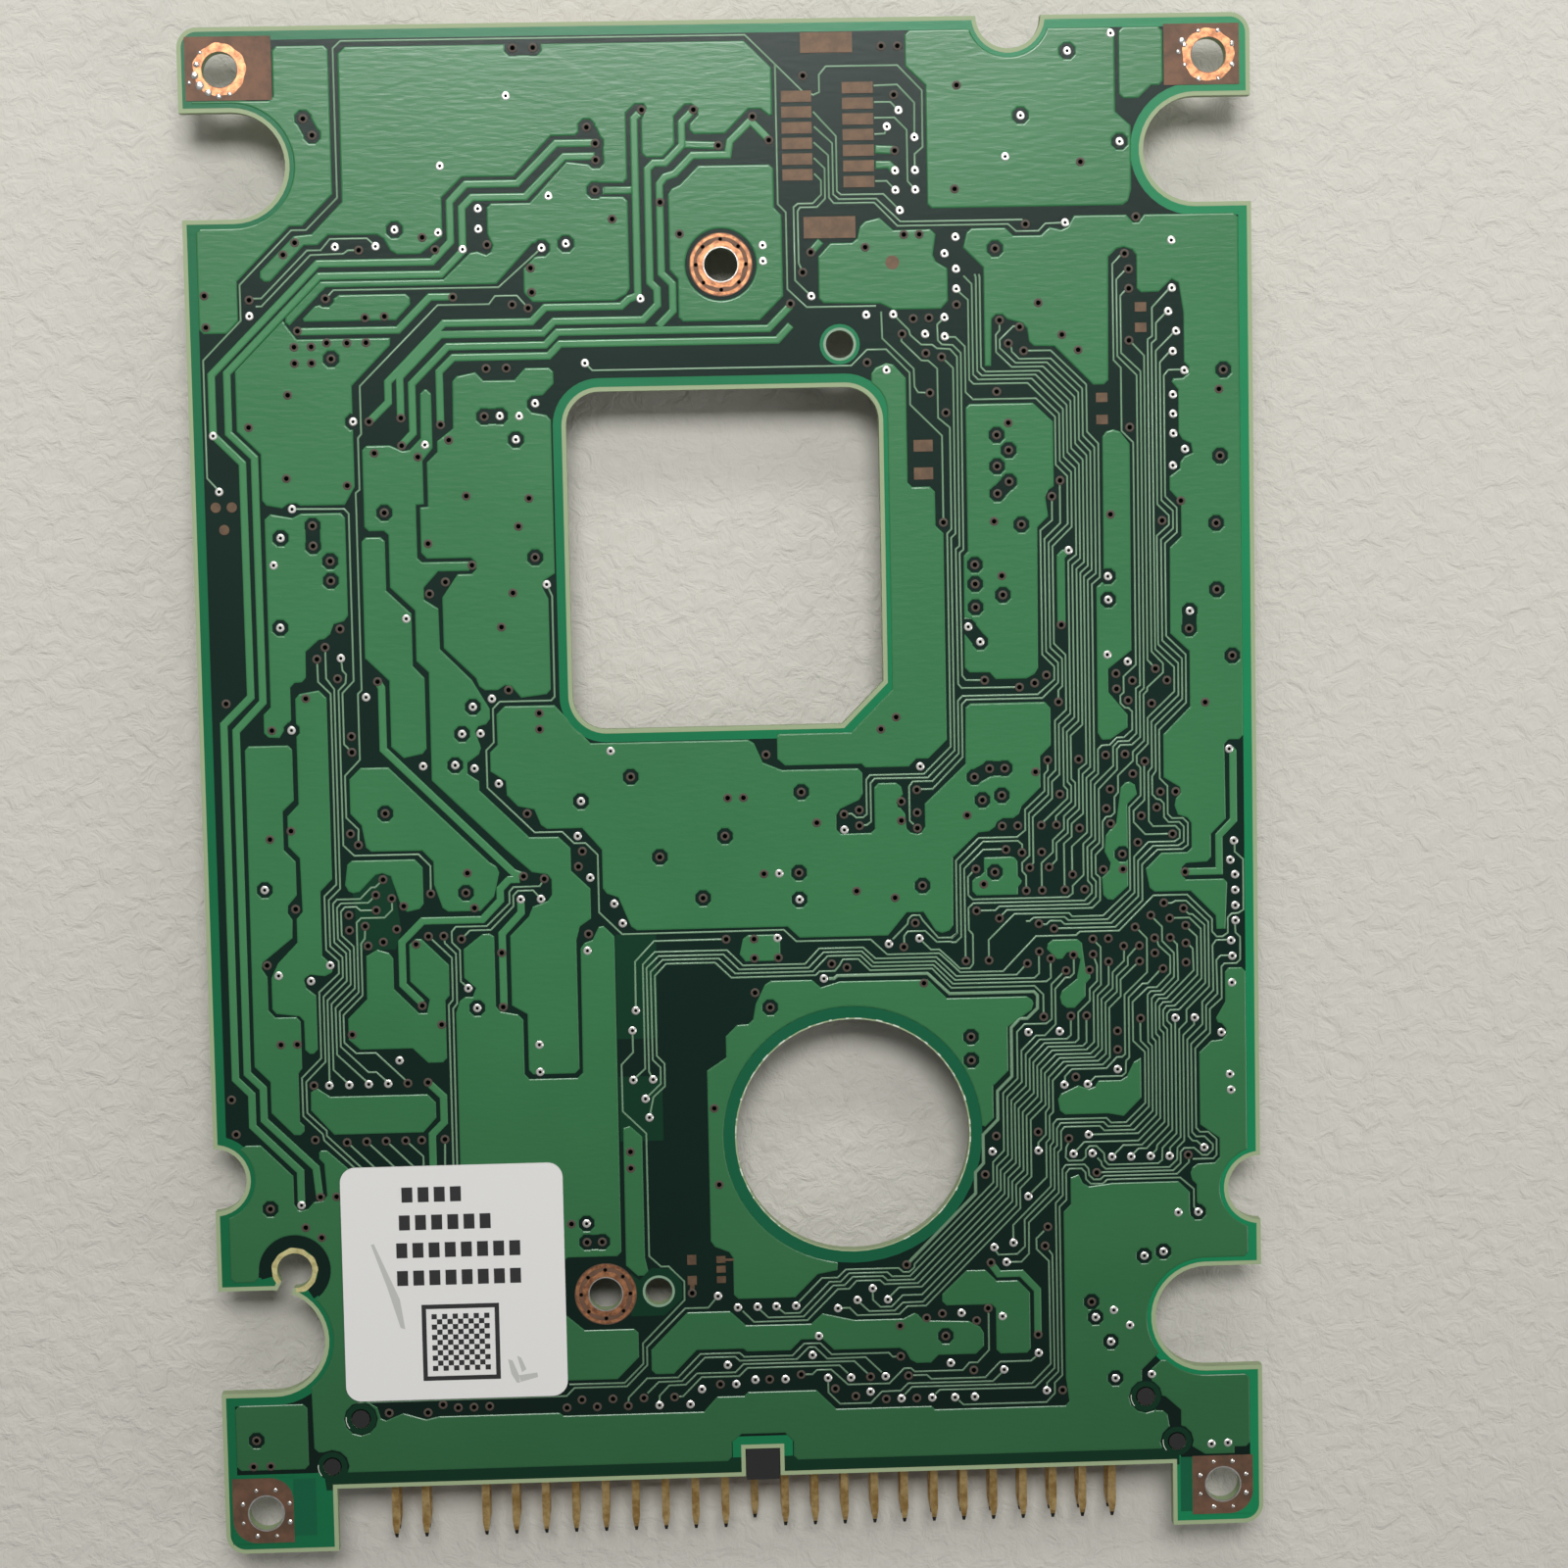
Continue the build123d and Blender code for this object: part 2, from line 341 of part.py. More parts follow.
GROUND_FRAME = [
    [(32.5, -12.36), (EAST, -12.36), (EAST, -34.0), (28.5, -37.2), (26.46, -39.2), (26.46, -41.0),
     (27.4, -41.95), (28.1, -42.0), (28.3, -43.2), (27.7, -44.6), (3.15, -44.6), (3.15, -43.35),
     (2.6, -42.75), (-0.3, -42.75), (-0.95, -43.3), (-0.95, -44.55), (-26.4, -44.55),
     (-27.3, -43.14), (-28.53, -43.14), (-28.6, -38.9), (-30.0, -36.0), (-30.0, -33.0),
     (-29.44, -30.9), (-31.8, -31.0), (-31.83, -31.65), (WEST, -31.65), (WEST, -23.5),
     (-33.3, -23.2), (-32.4, -22.5), (-31.4, -22.5), (-29.33, -24.6), (-29.33, -26.76),
     (-28.63, -27.0), (-28.05, -26.37), (-27.15, -26.24), (-27.3, -23.87), (-27.8, -23.3),
     (-27.3, -22.75), (-25.5, -24.4), (-25.5, -39.4), (-24.3, -40.2), (-24.0, -41.2),
     (-22.6, -40.64), (-21.1, -41.1), (-20.23, -40.92), (-12.3, -40.92), (-12.04, -41.13),
     (-2.74, -41.13), (-1.85, -40.15), (-0.05, -40.15), (0.2, -39.9), (4.74, -39.9),
     (6.03, -41.2), (12.4, -41.2), (12.6, -41.44), (21.6, -41.44), (21.36, -39.6), (21.36, -28.4),
     (21.85, -27.9), (21.85, -26.1), (22.4, -25.9), (22.8, -26.76), (24.67, -26.54),
     (29.03, -26.54), (29.8, -27.3), (29.8, -28.6), (30.2, -29.15), (30.8, -28.6), (30.25, -28.0),
     (30.24, -26.8), (29.75, -26.3), (30.05, -25.4), (31.46, -25.35), (31.8, -25.0),
     (31.8, -23.74), (30.52, -22.8), (30.5, -17.97), (31.3, -17.2), (32.3, -17.1), (32.3, -16.15),
     (31.5, -15.95), (32.27, -14.64), (32.27, -12.65)],
    # bottom right corner, cut off by the slot between the pegs
    [(27.74, -38.55), (26.9, -39.3), (27.4, -40.9), (28.0, -41.05), (29.03, -42.0),
     (29.03, -43.04), (29.6, -43.5), (29.77, -44.5), (30.63, -45.05), (32.6, -45.05),
     (32.6, -44.6), (EAST, -44.6), (EAST, -38.55)],
    # bottom left corner
    [(-33.7, -39.83), (-28.9, -39.83), (-28.9, -44.23), (-33.7, -44.23)],
]

TRACK_W = 0.5
POWER_TRACKS = [
    [(-7.95, 42.1), (-10.45, 42.1), (-13.0, 39.6), (-16.3, 39.6), (-17.37, 38.5),
     (-17.37, 35.95), (-18.6, 34.7), (-25.94, 34.7), (-32.97, 27.7), (-32.97, 23.85),
     (-31.15, 22.0), (-31.1, 6.9), (-32.9, 5.15), (-32.9, -18.1), (-31.88, -19.15),
     (-31.88, -21.25), (-28.86, -24.3), (-28.86, -26.5)],
    [(-7.95, 41.25), (-9.95, 41.25), (-12.5, 38.75), (-15.95, 38.75), (-16.6, 38.1),
     (-16.6, 35.35), (-18.05, 33.9), (-25.87, 33.9), (-31.97, 27.8), (-31.97, 23.95),
     (-30.37, 22.35), (-30.33, 6.55), (-32.12, 4.7), (-32.12, -17.75), (-31.12, -18.75),
     (-31.12, -20.85), (-27.84, -24.1), (-27.65, -26.05)],
    [(-17.4, 32.45), (-18.8, 32.45), (-20.9, 30.38), (-27.35, 30.38)],
    [(-5.05, 43.95), (-5.4, 43.6), (-5.4, 32.3), (-6.0, 32.1), (-6.5, 31.65), (-11.4, 31.65),
     (-12.3, 30.75), (-17.95, 30.75), (-21.65, 27.05), (-21.65, 25.75), (-22.85, 24.6)],
    [(-1.55, 44.1), (-2.35, 43.3), (-2.35, 41.85), (-3.45, 40.75), (-4.2, 40.75),
     (-4.6, 40.35), (-4.6, 33.15), (-4.15, 32.7), (-4.15, 31.7), (-5.1, 30.75),
     (-10.85, 30.75), (-11.6, 30.02), (-18.2, 30.02), (-20.88, 27.35), (-20.88, 24.75)],
    [(4.45, 31.5), (3.0, 30.05), (-10.65, 30.05), (-11.45, 29.25), (-17.75, 29.25),
     (-20.12, 26.9), (-20.12, 23.75), (-20.85, 23.0)],
    [(4.45, 30.25), (3.55, 29.3), (-10.5, 29.3), (-11.25, 28.55), (-17.4, 28.55),
     (-18.33, 27.65), (-18.33, 24.3)],
    [(3.25, 42.15), (2.1, 43.35), (0.75, 42.05), (0.6, 41.2), (-1.7, 41.2), (-2.85, 40.05),
     (-3.5, 39.85), (-3.85, 39.4), (-3.85, 33.7), (-3.15, 33.0), (-3.15, 31.3),
     (-4.15, 30.3)],
    [(-22.87, 7.73), (-22.63, 7.3), (-22.63, 3.3), (-14.4, -4.95), (-13.75, -5.2)],
    [(-14.0, -5.4), (-14.7, -5.4), (-15.3, -6.0), (-15.3, -6.75), (-16.5, -7.98),
     (-20.4, -7.98), (-21.8, -9.35), (-21.8, -12.15), (-20.58, -13.4)],
    [(-13.97, -6.72), (-13.97, -7.6), (-15.25, -8.95), (-15.25, -13.8)],
    [(-20.35, -18.63), (-19.37, -19.6), (-19.37, -21.3), (-20.17, -22.1), (-20.17, -24.5)],
    [(32.8, 2.1), (32.95, 1.9), (32.95, -2.6), (31.97, -3.6), (31.97, -5.95), (29.7, -5.95)],
    [(16.5, -31.75), (17.0, -32.45), (18.5, -32.45), (19.55, -33.6), (19.55, -36.6)],
]

with BuildPart() as margin_limit:
    with BuildSketch(Plane.XY.offset(TOP)):
        add(board_shape(EDGE_MARGIN, CUT_MARGIN))
        with Locations(*[(x, y, 0) for x, y in INNER_SCREWS]):
            Circle(INNER_RING_R + 0.25, mode=Mode.SUBTRACT)
        with Locations(*[(x, y, 0) for x, y in LOCATING_HOLES]):
            Circle(LOCATING_R + 0.25, mode=Mode.SUBTRACT)
        with Locations(KEYHOLE):
            Circle(2.35, mode=Mode.SUBTRACT)
        with Locations(*[(x, y) for x, y, radius in PEGS]):
            RegularPolygon(PEG_CLEARANCE_R, PEG_SIDES, mode=Mode.SUBTRACT)
    extrude(amount=COPPER_T)


def copper_plates(label, outlines):
    """One node of copper plates on the solder side, kept inside the bare margins"""
    with BuildPart() as plates:
        with BuildSketch(Plane.XY.offset(TOP)):
            for outline in outlines:
                polygon(outline)
        extrude(amount=COPPER_T)
        add(margin_limit.part, mode=Mode.INTERSECT)
    save(plates, label)


copper_plates("motor_driver_copper", MOTOR_POURS)
copper_plates("logic_copper", LOGIC_POURS)
copper_plates("signal_copper", SIGNAL_POURS)
copper_plates("ground_frame_copper", GROUND_FRAME)
copper_plates("power_tracks", [ribbon(track, TRACK_W) for track in POWER_TRACKS])

# ---------------------------------------------------------------- bare copper on the solder side

LANDS = [
    ((-34.0, -28.5), (45.15, 49.2)),
    ((28.9, 33.8), (45.2, 49.1)),
    ((-34.0, -30.0), (-49.1, -44.75)),
    ((29.75, 33.8), (-49.1, -45.15)),
]

with BuildPart() as screw_lands:
    with BuildSketch(Plane.XY.offset(TOP)):
        for x_range, y_range in LANDS:
            rectangle(x_range, y_range)
        with Locations(*[(x, y) for x in (-SCREW_X, SCREW_X) for y in (-SCREW_Y, SCREW_Y)]):
            Circle(SCREW_R, mode=Mode.SUBTRACT)
        with Locations(*INNER_SCREWS):
            Circle(INNER_RING_R)
            Circle(INNER_SCREW_R, mode=Mode.SUBTRACT)
    extrude(amount=COPPER_T)
save(screw_lands, "screw_lands")

# (x, y, width, height)
PADS = [(5.08, 44.85 - k, 1.95, 0.72) for k in range(6)]
PADS += [(9.04, 45.35 - k, 2.0, 0.72) for k in range(7)]
PADS += [
    (7.08, 48.25, 3.35, 1.3),
    (7.08, 36.46, 3.35, 1.38),
    (12.9, 22.3, 1.25, 0.75),
    (12.9, 20.5, 1.25, 0.78),
    (24.6, 25.2, 0.75, 0.6),
    (24.6, 23.77, 0.75, 0.6),
    (27.2, 29.68, 0.75, 0.6),
    (27.2, 31.0, 0.75, 0.6),
    (-3.33, -30.92, 0.6, 0.65),
    (-3.33, -32.3, 0.6, 0.6),
    (-1.4, -30.95, 0.6, 0.45),
    (-1.4, -31.6, 0.6, 0.45),
    (-1.4, -32.3, 0.6, 0.45),
]

with BuildPart() as test_pads:
    with BuildSketch(Plane.XY.offset(TOP)):
        for x, y, width, height in PADS:
            with Locations((x, y)):
                Rectangle(width, height)
    extrude(amount=COPPER_T)
save(test_pads, "test_pads")

LABEL_X = (-26.3, -11.7)
LABEL_Y = (-39.75, -24.15)
LABEL_T = 0.08

with BuildPart() as label:
    with BuildSketch(Plane.XY.offset(TOP + COPPER_T)):
        with Locations(((LABEL_X[0] + LABEL_X[1]) / 2, (LABEL_Y[0] + LABEL_Y[1]) / 2)):
            RectangleRounded(LABEL_X[1] - LABEL_X[0], LABEL_Y[1] - LABEL_Y[0], 1.0)
    extrude(amount=LABEL_T)
save(label, "label")

# ---------------------------------------------------------------- pin header

PIN_FIT = 0.03
UPPER_ROW = [k for k in range(COLUMNS) if k != KEY_COLUMN] + list(JUMPER_COLUMNS)
LOWER_ROW = list(range(COLUMNS)) + list(JUMPER_COLUMNS)


def pin_places(row):
    """Middle of each pin of one row, as x and z"""
    columns = UPPER_ROW if row == 0 else LOWER_ROW
    return [(FIRST_PIN_X + PITCH * k, ROW_Z[row]) for k in columns]


with BuildPart() as header_housing:
    with BuildSketch():
        rectangle(HOUSING_X, HOUSING_Y)
    extrude(amount=STAND)
    # key that fills the polarising slot
    with BuildSketch(Plane.XY.offset(STAND)):
        rectangle((KEY_X[0] + 0.05, KEY_X[1] - 0.05), (HOUSING_Y[0], KEY_TOP - 0.05))
    extrude(amount=BOARD_T)
    # pegs that locate the header in the board
    with BuildSketch(Plane.XY.offset(STAND)):
        for x, y, radius in PEGS:
            with Locations((x, y)):
                RegularPolygon(radius, PEG_SIDES)
    extrude(amount=BOARD_T + PEG_PROUD)
    with BuildSketch(Plane.XZ.offset(-HOUSING_Y[0])):
        with Locations(*(pin_places(0) + pin_places(1))):
            Rectangle(PIN_W + 2 * PIN_FIT, PIN_W + 2 * PIN_FIT)
    extrude(amount=-(HOUSING_Y[1] - HOUSING_Y[0]), mode=Mode.SUBTRACT)
save(header_housing, "header_housing")

TAIL_Y = (-39.3, -38.1)  # where the tails of each row turn up to the board

with BuildPart() as header_pins:
    for row in (0, 1):
        z = ROW_Z[row]
        tip, shoulder, back = PIN_TIP_Y, PIN_TIP_Y + 0.55, TAIL_Y[row]
        for x, _ in pin_places(row):
            with BuildSketch(Plane.YZ.offset(x - PIN_W / 2)):
                Polygon(
                    (tip, z),
                    (shoulder, z + PIN_W / 2),
                    (back - 0.45, z + PIN_W / 2),
                    (back - 0.45, STAND),
                    (back, STAND),
                    (back, z - PIN_W / 2),
                    (shoulder, z - PIN_W / 2),
                    align=None,
                )
            extrude(amount=PIN_W)
save(header_pins, "header_pins")

# ---------------------------------------------------------------- component side
# Packages hang under the board. Each lead is a wedge from the package's waist to its solder pad.

BODY_GAP = 0.1


def wedge_lead(reach, waist, width):
    """One lead that runs along +X from a body's side at x = 0 to its pad, below z = 0"""
    with BuildPart() as lead:
        with BuildSketch(Plane.XZ.offset(-width / 2)):
            Polygon((0, -waist), (reach * 0.45, 0), (reach, 0), align=None)
        extrude(amount=width)
    return lead.part


def lead_rows(centre, body, counts, pitch):
    """Where each lead of a package starts, and which way it points"""
    places = []
    for index in range(counts[0]):
        x = (index - (counts[0] - 1) / 2) * pitch
        places += [(x, body[1] / 2, 90), (x, -body[1] / 2, -90)]
    for index in range(counts[1]):
        y = (index - (counts[1] - 1) / 2) * pitch
        places += [(body[0] / 2, y, 0), (-body[0] / 2, y, 180)]
    return [Location((centre[0] + x, centre[1] + y, STAND), (0, 0, turn)) for x, y, turn in places]


# label: centre, body plan, body height, leads along X and Y sides, pitch, lead reach, lead width
PACKAGES = {
    "controller": ((21.5, -5.0), (14.0, 20.0), 2.4, (16, 24), 0.8, 1.4, 0.35),
    "read_channel": ((23.5, 28.5), (10.0, 10.0), 1.4, (12, 12), 0.8, 1.0, 0.35),
    "motor_driver": ((-22.0, 8.0), (10.0, 10.0), 2.0, (11, 11), 0.8, 1.4, 0.35),
    "buffer_memory": ((-16.5, -26.0), (10.16, 18.4), 1.0, (0, 20), 0.8, 0.8, 0.35),
    "settings_memory": ((-20.0, 30.5), (4.9, 3.9), 1.5, (4, 0), 1.27, 1.0, 0.42),
}

for name, (centre, plan, height, counts, pitch, reach, width) in PACKAGES.items():
    with BuildPart() as body:
        with BuildSketch(Plane.XY.offset(STAND - BODY_GAP - height)):
            with Locations(centre):
                Rectangle(*plan)
        extrude(amount=height)
        chamfer(body.faces().sort_by(Axis.Z)[0].edges(), min(0.25, height / 5))
    save(body, f"{name}_body")
    lead = wedge_lead(reach, BODY_GAP + height / 2, width)
    with BuildPart() as leads:
        with Locations(*lead_rows(centre, plan, counts, pitch)):
            add(lead)
    save(leads, f"{name}_leads")

# head flex socket near the top edge, as tall as the header so that the board stands level
SOCKET_X = (-20.0, 2.0)
SOCKET_Y = (42.3, 47.7)
SOCKET_CONTACTS = 10
SOCKET_PITCH = 2.0

with BuildPart() as head_socket_housing:
    with BuildSketch():
        rectangle(SOCKET_X, SOCKET_Y)
    extrude(amount=STAND)
    with BuildSketch():
        rectangle((SOCKET_X[0] + 1.0, SOCKET_X[1] - 1.0), (SOCKET_Y[0] + 1.3, SOCKET_Y[1] - 1.3))
    extrude(amount=2.6, mode=Mode.SUBTRACT)
save(head_socket_housing, "head_socket_housing")

with BuildPart() as head_socket_contacts:
    middle = (SOCKET_X[0] + SOCKET_X[1]) / 2
    with BuildSketch(Plane.XY.offset(STAND - 0.2)):
        for y in (SOCKET_Y[0] - 0.4, SOCKET_Y[1] + 0.4):
            with Locations((middle, y)):
                with GridLocations(SOCKET_PITCH, 1, SOCKET_CONTACTS, 1):
                    Rectangle(0.45, 0.8)
    extrude(amount=0.2)
save(head_socket_contacts, "head_socket_contacts")

# spindle motor flex connector, between the window and the spindle hole
MOTOR_CONNECTOR = (-4.0, -8.0)

with BuildPart() as motor_connector_body:
    with BuildSketch(Plane.XY.offset(STAND - 2.0)):
        with Locations(MOTOR_CONNECTOR):
            Rectangle(8.0, 4.2)
    extrude(amount=2.0)
    with BuildSketch(Plane.XY.offset(STAND - 1.3)):
        with Locations((MOTOR_CONNECTOR[0], MOTOR_CONNECTOR[1] - 1.6)):
            Rectangle(6.4, 1.2)
    extrude(amount=0.5, mode=Mode.SUBTRACT)
save(motor_connector_body, "motor_connector_body")

with BuildPart() as motor_connector_contacts:
    with BuildSketch(Plane.XY.offset(STAND - 0.2)):
        with Locations((MOTOR_CONNECTOR[0], MOTOR_CONNECTOR[1] + 2.55)):
            with GridLocations(1.5, 1, 4, 1):
                Rectangle(0.5, 0.9)
    extrude(amount=0.2)
save(motor_connector_contacts, "motor_connector_contacts")


def blocks(label, height, gap, plans):
    """One node of plain blocks under the board, each given as x, y, width, height"""
    with BuildPart() as node:
        with BuildSketch(Plane.XY.offset(STAND - gap - height)):
            for x, y, width, depth in plans:
                with Locations((x, y)):
                    Rectangle(width, depth)
        extrude(amount=height)
    save(node, label)


def end_caps(plans, length):
    """Metal ends of two-terminal parts, on the two ends of each part's longer side"""
    caps = []
    for x, y, width, depth in plans:
        along_x = width > depth
        reach = ((width if along_x else depth) + length) / 2
        for side in (-1, 1):
            if along_x:
                caps.append((x + side * reach, y, length, depth))
            else:
                caps.append((x, y + side * reach, width, length))
    return caps


CERAMICS = [
    (12.0, -1.0, 0.8, 1.2), (12.0, -6.0, 0.8, 1.2), (15.0, 9.0, 1.2, 0.8), (19.0, 9.0, 1.2, 0.8),
    (25.0, 9.0, 1.2, 0.8), (16.0, 24.0, 0.8, 1.2), (16.0, 31.0, 0.8, 1.2),
    (-29.5, 5.0, 0.8, 1.2), (-14.5, 4.0, 0.8, 1.2), (-22.0, -3.0, 1.2, 0.8),
]
RESISTORS = [
    (12.5, 30.0, 0.8, 1.2), (12.5, 34.0, 0.8, 1.2), (-22.0, 18.5, 1.2, 0.8),
    (-27.0, -9.0, 0.8, 1.2), (19.0, -19.0, 1.2, 0.8), (22.5, -19.0, 1.2, 0.8),
]
TANTALUMS = [(-29.0, -3.5, 2.8, 3.6), (28.5, 17.0, 2.8, 3.6), (-27.0, 24.5, 3.6, 2.8)]
INDUCTORS = [(-20.5, -10.5, 4.0, 4.0), (22.5, -26.0, 4.0, 4.0)]

blocks("ceramic_capacitors", 0.8, 0, CERAMICS)
blocks("chip_resistors", 0.45, 0, RESISTORS)
blocks("capacitor_ends", 0.85, 0, end_caps(CERAMICS, 0.4))
blocks("resistor_ends", 0.5, 0, end_caps(RESISTORS, 0.35))
blocks("tantalum_capacitors", 2.0, BODY_GAP, TANTALUMS)
blocks("tantalum_terminals", 0.2, 0, end_caps(TANTALUMS, 0.6))
blocks("power_inductors", 2.4, 0, INDUCTORS)
blocks("clock_crystal", 2.6, 0, [(27.5, -21.5, 3.6, 8.0)])
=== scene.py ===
# %% [markdown]
# # Controller board of a laptop hard drive
# The board lies with its solder side up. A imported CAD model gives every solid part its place, so this
# lesson adds what CAD leaves plain: the skin of solder mask, the soft edges of masked copper, the fine
# tracks and their plated holes, the worn bare copper, and the light.

# %% Load the CAD model
from math import cos, hypot, pi, radians, sin

import bmesh
import bpy
import numpy as np
from mathutils import Matrix, Vector
from mathutils.geometry import delaunay_2d_cdt


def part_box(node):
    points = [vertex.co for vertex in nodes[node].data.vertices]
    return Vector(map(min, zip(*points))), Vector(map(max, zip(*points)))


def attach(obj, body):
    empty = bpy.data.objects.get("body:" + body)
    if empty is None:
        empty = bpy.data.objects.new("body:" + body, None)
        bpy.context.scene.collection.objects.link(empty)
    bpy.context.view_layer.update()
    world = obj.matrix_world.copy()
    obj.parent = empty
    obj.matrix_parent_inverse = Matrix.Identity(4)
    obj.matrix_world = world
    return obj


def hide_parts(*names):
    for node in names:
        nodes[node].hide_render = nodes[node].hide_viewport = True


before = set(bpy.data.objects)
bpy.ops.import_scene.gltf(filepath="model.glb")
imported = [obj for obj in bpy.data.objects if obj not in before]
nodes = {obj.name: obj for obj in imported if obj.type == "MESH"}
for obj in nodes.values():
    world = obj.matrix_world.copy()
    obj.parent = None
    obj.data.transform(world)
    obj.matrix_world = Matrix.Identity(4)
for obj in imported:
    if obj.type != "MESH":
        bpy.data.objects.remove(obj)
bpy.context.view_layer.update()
MM = 0.001
board_low, board_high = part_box("board")
TOP = board_high[2]
print("board", [round((b - a) / MM, 2) for a, b in zip(board_low, board_high)], "mm")

# %% [markdown]
# ## Colours and shader nodes
# A colour is written as a hex value, as in a paint program. Blender's shaders work in linear light, so
# one function does the conversion. A second function adds a shader node with its settings and links.


# %% Colour and node helpers
def colour(code):
    """A hex sRGB colour as a linear RGBA value."""
    parts = [int(code[i : i + 2], 16) / 255 for i in (1, 3, 5)]
    return [c / 12.92 if c <= 0.04045 else ((c + 0.055) / 1.055) ** 2.4 for c in parts] + [1.0]


def add_node(tree, kind, links=None, inputs=None, **settings):
    """A new shader node. links maps an input to an output socket, inputs maps an input to a value."""
    node = tree.nodes.new(kind)
    for name, value in settings.items():
        setattr(node, name, value)
    for name, value in (inputs or {}).items():
        node.inputs[name].default_value = value
    for name, socket in (links or {}).items():
        tree.links.new(socket, node.inputs[name])
    return node


def new_material(name, base, roughness, metallic=0.0, **sockets):
    """A Principled material with plain values."""
    material = bpy.data.materials.new(name)
    material.use_nodes = True
    shader = material.node_tree.nodes["Principled BSDF"]
    shader.inputs["Base Color"].default_value = colour(base)
    shader.inputs["Roughness"].default_value = roughness
    shader.inputs["Metallic"].default_value = metallic
    for socket, value in sockets.items():
        shader.inputs[socket.replace("_", " ")].default_value = value
    return material


def shader_of(material):
    """The material's Principled node."""
    return material.node_tree.nodes["Principled BSDF"]


def object_space(tree, *sizes):
    """Object coordinates in units of the given size in mm. Two sizes stand for X and Y."""
    place = add_node(tree, "ShaderNodeTexCoord")
    scale = (1 / MM / sizes[0], 1 / MM / sizes[1], 1.0) if len(sizes) > 1 else (1 / MM / sizes[0],) * 3
    return add_node(
        tree, "ShaderNodeMapping", {"Vector": place.outputs["Object"]}, {"Scale": scale}
    ).outputs["Vector"]


def noise(tree, vector, detail, roughness, distortion=0.0):
    """The value of a cloudy noise with one cloud to each unit of the vector."""
    settings = {"Scale": 1.0, "Detail": detail, "Roughness": roughness, "Distortion": distortion}
    return add_node(tree, "ShaderNodeTexNoise", {"Vector": vector}, settings).outputs["Fac"]


def ramp_along(tree, axis, from_mm, to_mm, start, end):
    """A value that runs from start to end along one axis of the object."""
    place = add_node(tree, "ShaderNodeTexCoord")
    axes = add_node(tree, "ShaderNodeSeparateXYZ", {"Vector": place.outputs["Object"]})
    reach = {"From Min": from_mm * MM, "From Max": to_mm * MM, "To Min": start, "To Max": end}
    return add_node(tree, "ShaderNodeMapRange", {"Value": axes.outputs[axis]}, reach).outputs["Result"]


def set_bump(material, height, strength, depth_mm):
    """Lets a value raise and lower the material's surface."""
    tree = material.node_tree
    bump = add_node(
        tree, "ShaderNodeBump", {"Height": height}, {"Strength": strength, "Distance": depth_mm * MM}
    )
    tree.links.new(bump.outputs["Normal"], shader_of(material).inputs["Normal"])


print("helpers ready")

# %% [markdown]
# ## Finishes
# Solder mask is a thin green lacquer. Over copper it looks pale green, because the metal under it
# reflects. Over bare laminate with a dark inner plane it is nearly black, and where no plane lies under
# it, near the board's edges, it glows emerald. All of it has the same gloss.


# %% Solder mask
WEAVE_MM = (1.1, 0.34)
CLOUD_MM = 9.0
SHADE_RAMP_Y_MM = (-45, -8)
SHADE_RAMP_X_MM = (-34, 34)


def colour_sockets(sockets):
    """Those sockets of a mix node that carry a colour."""
    return [socket for socket in sockets if socket.type == "RGBA"]


def lacquer(name, base, variation, ripple, gloss=0.5, thick=0.62, sides=(1.0, 1.0)):
    """Glossy solder mask of uneven thickness, with the glass weave's ripple and painted shade: toward -Y by
    thick, along X by sides.
    """
    material = new_material(name, base, 0.26, Specular_IOR_Level=gloss)
    tree = material.node_tree
    cloud = noise(tree, object_space(tree, CLOUD_MM), 3.0, 0.6)
    tint = add_node(tree, "ShaderNodeMix", {"Factor": cloud}, data_type="RGBA")
    for socket, shade in zip(colour_sockets(tint.inputs), (base, variation)):
        socket.default_value = colour(shade)
    # painted shade: the tone darkens toward -Y, the header's edge, standing in for the lamp's falloff
    coat = ramp_along(tree, "Y", *SHADE_RAMP_Y_MM, thick, 1.0)
    # painted light and shade: the tone is scaled from -X to +X
    across = ramp_along(tree, "X", *SHADE_RAMP_X_MM, *sides)
    both = add_node(tree, "ShaderNodeMath", {0: coat, 1: across}, operation="MULTIPLY")
    shaded = add_node(
        tree,
        "ShaderNodeVectorMath",
        {0: colour_sockets(tint.outputs)[0], 3: both.outputs["Value"]},
        operation="SCALE",
    )
    tree.links.new(shaded.outputs["Vector"], shader_of(material).inputs["Base Color"])
    # the weave's ridges run across the board, so the bump is stretched along X
    set_bump(material, noise(tree, object_space(tree, *WEAVE_MM), 2.0, 0.5), ripple, 0.02)
    return material


# each mask is painted darker toward -Y; the emerald edge is also painted darker toward -X and lighter toward
# +X
masked_copper = lacquer("solder mask over copper", "#2F6F42", "#387A4B", 0.6)
masked_wide = lacquer("solder mask over wide tracks", "#3A7A4C", "#438453", 0.3)
# pale fine tracks: partly the mask's tone over copper, partly a painted highlight of their narrow shoulders
masked_track_with_sheen = lacquer("solder mask over fine tracks", "#799C7E", "#709373", 0.1)
masked_plane = lacquer("solder mask over the inner plane", "#071F19", "#0A271E", 0.2, 0.25)
masked_edge = lacquer("solder mask over plain laminate", "#0E6F43", "#147D50", 0.2, 0.35, 0.92, (0.74, 1.2))
# masked_bare is the darker green of DEEP_FIELDS and the peg rings, with strong painted shade toward -Y
masked_bare = lacquer("solder mask over laminate, thick coat", "#07331F", "#0A3A25", 0.2, 0.3, 0.75)
masked_ring = lacquer("solder mask at the spindle opening", "#0C5638", "#0F5F3F", 0.2, 0.35, 0.95)
print("mask materials:", [m.name for m in (masked_copper, masked_track_with_sheen, masked_plane, masked_edge)])

# %% [markdown]
# ## Laminate, metals and plastics
# The routed edge of the laminate shows glass and epoxy, a dull pale green. The corner lands are bare
# copper, brown with oxide. The header's pins have thin gold over nickel, and its housing is black nylon.


# %% Other finishes
laminate = new_material("glass-epoxy laminate, routed", "#93A37C", 0.6)


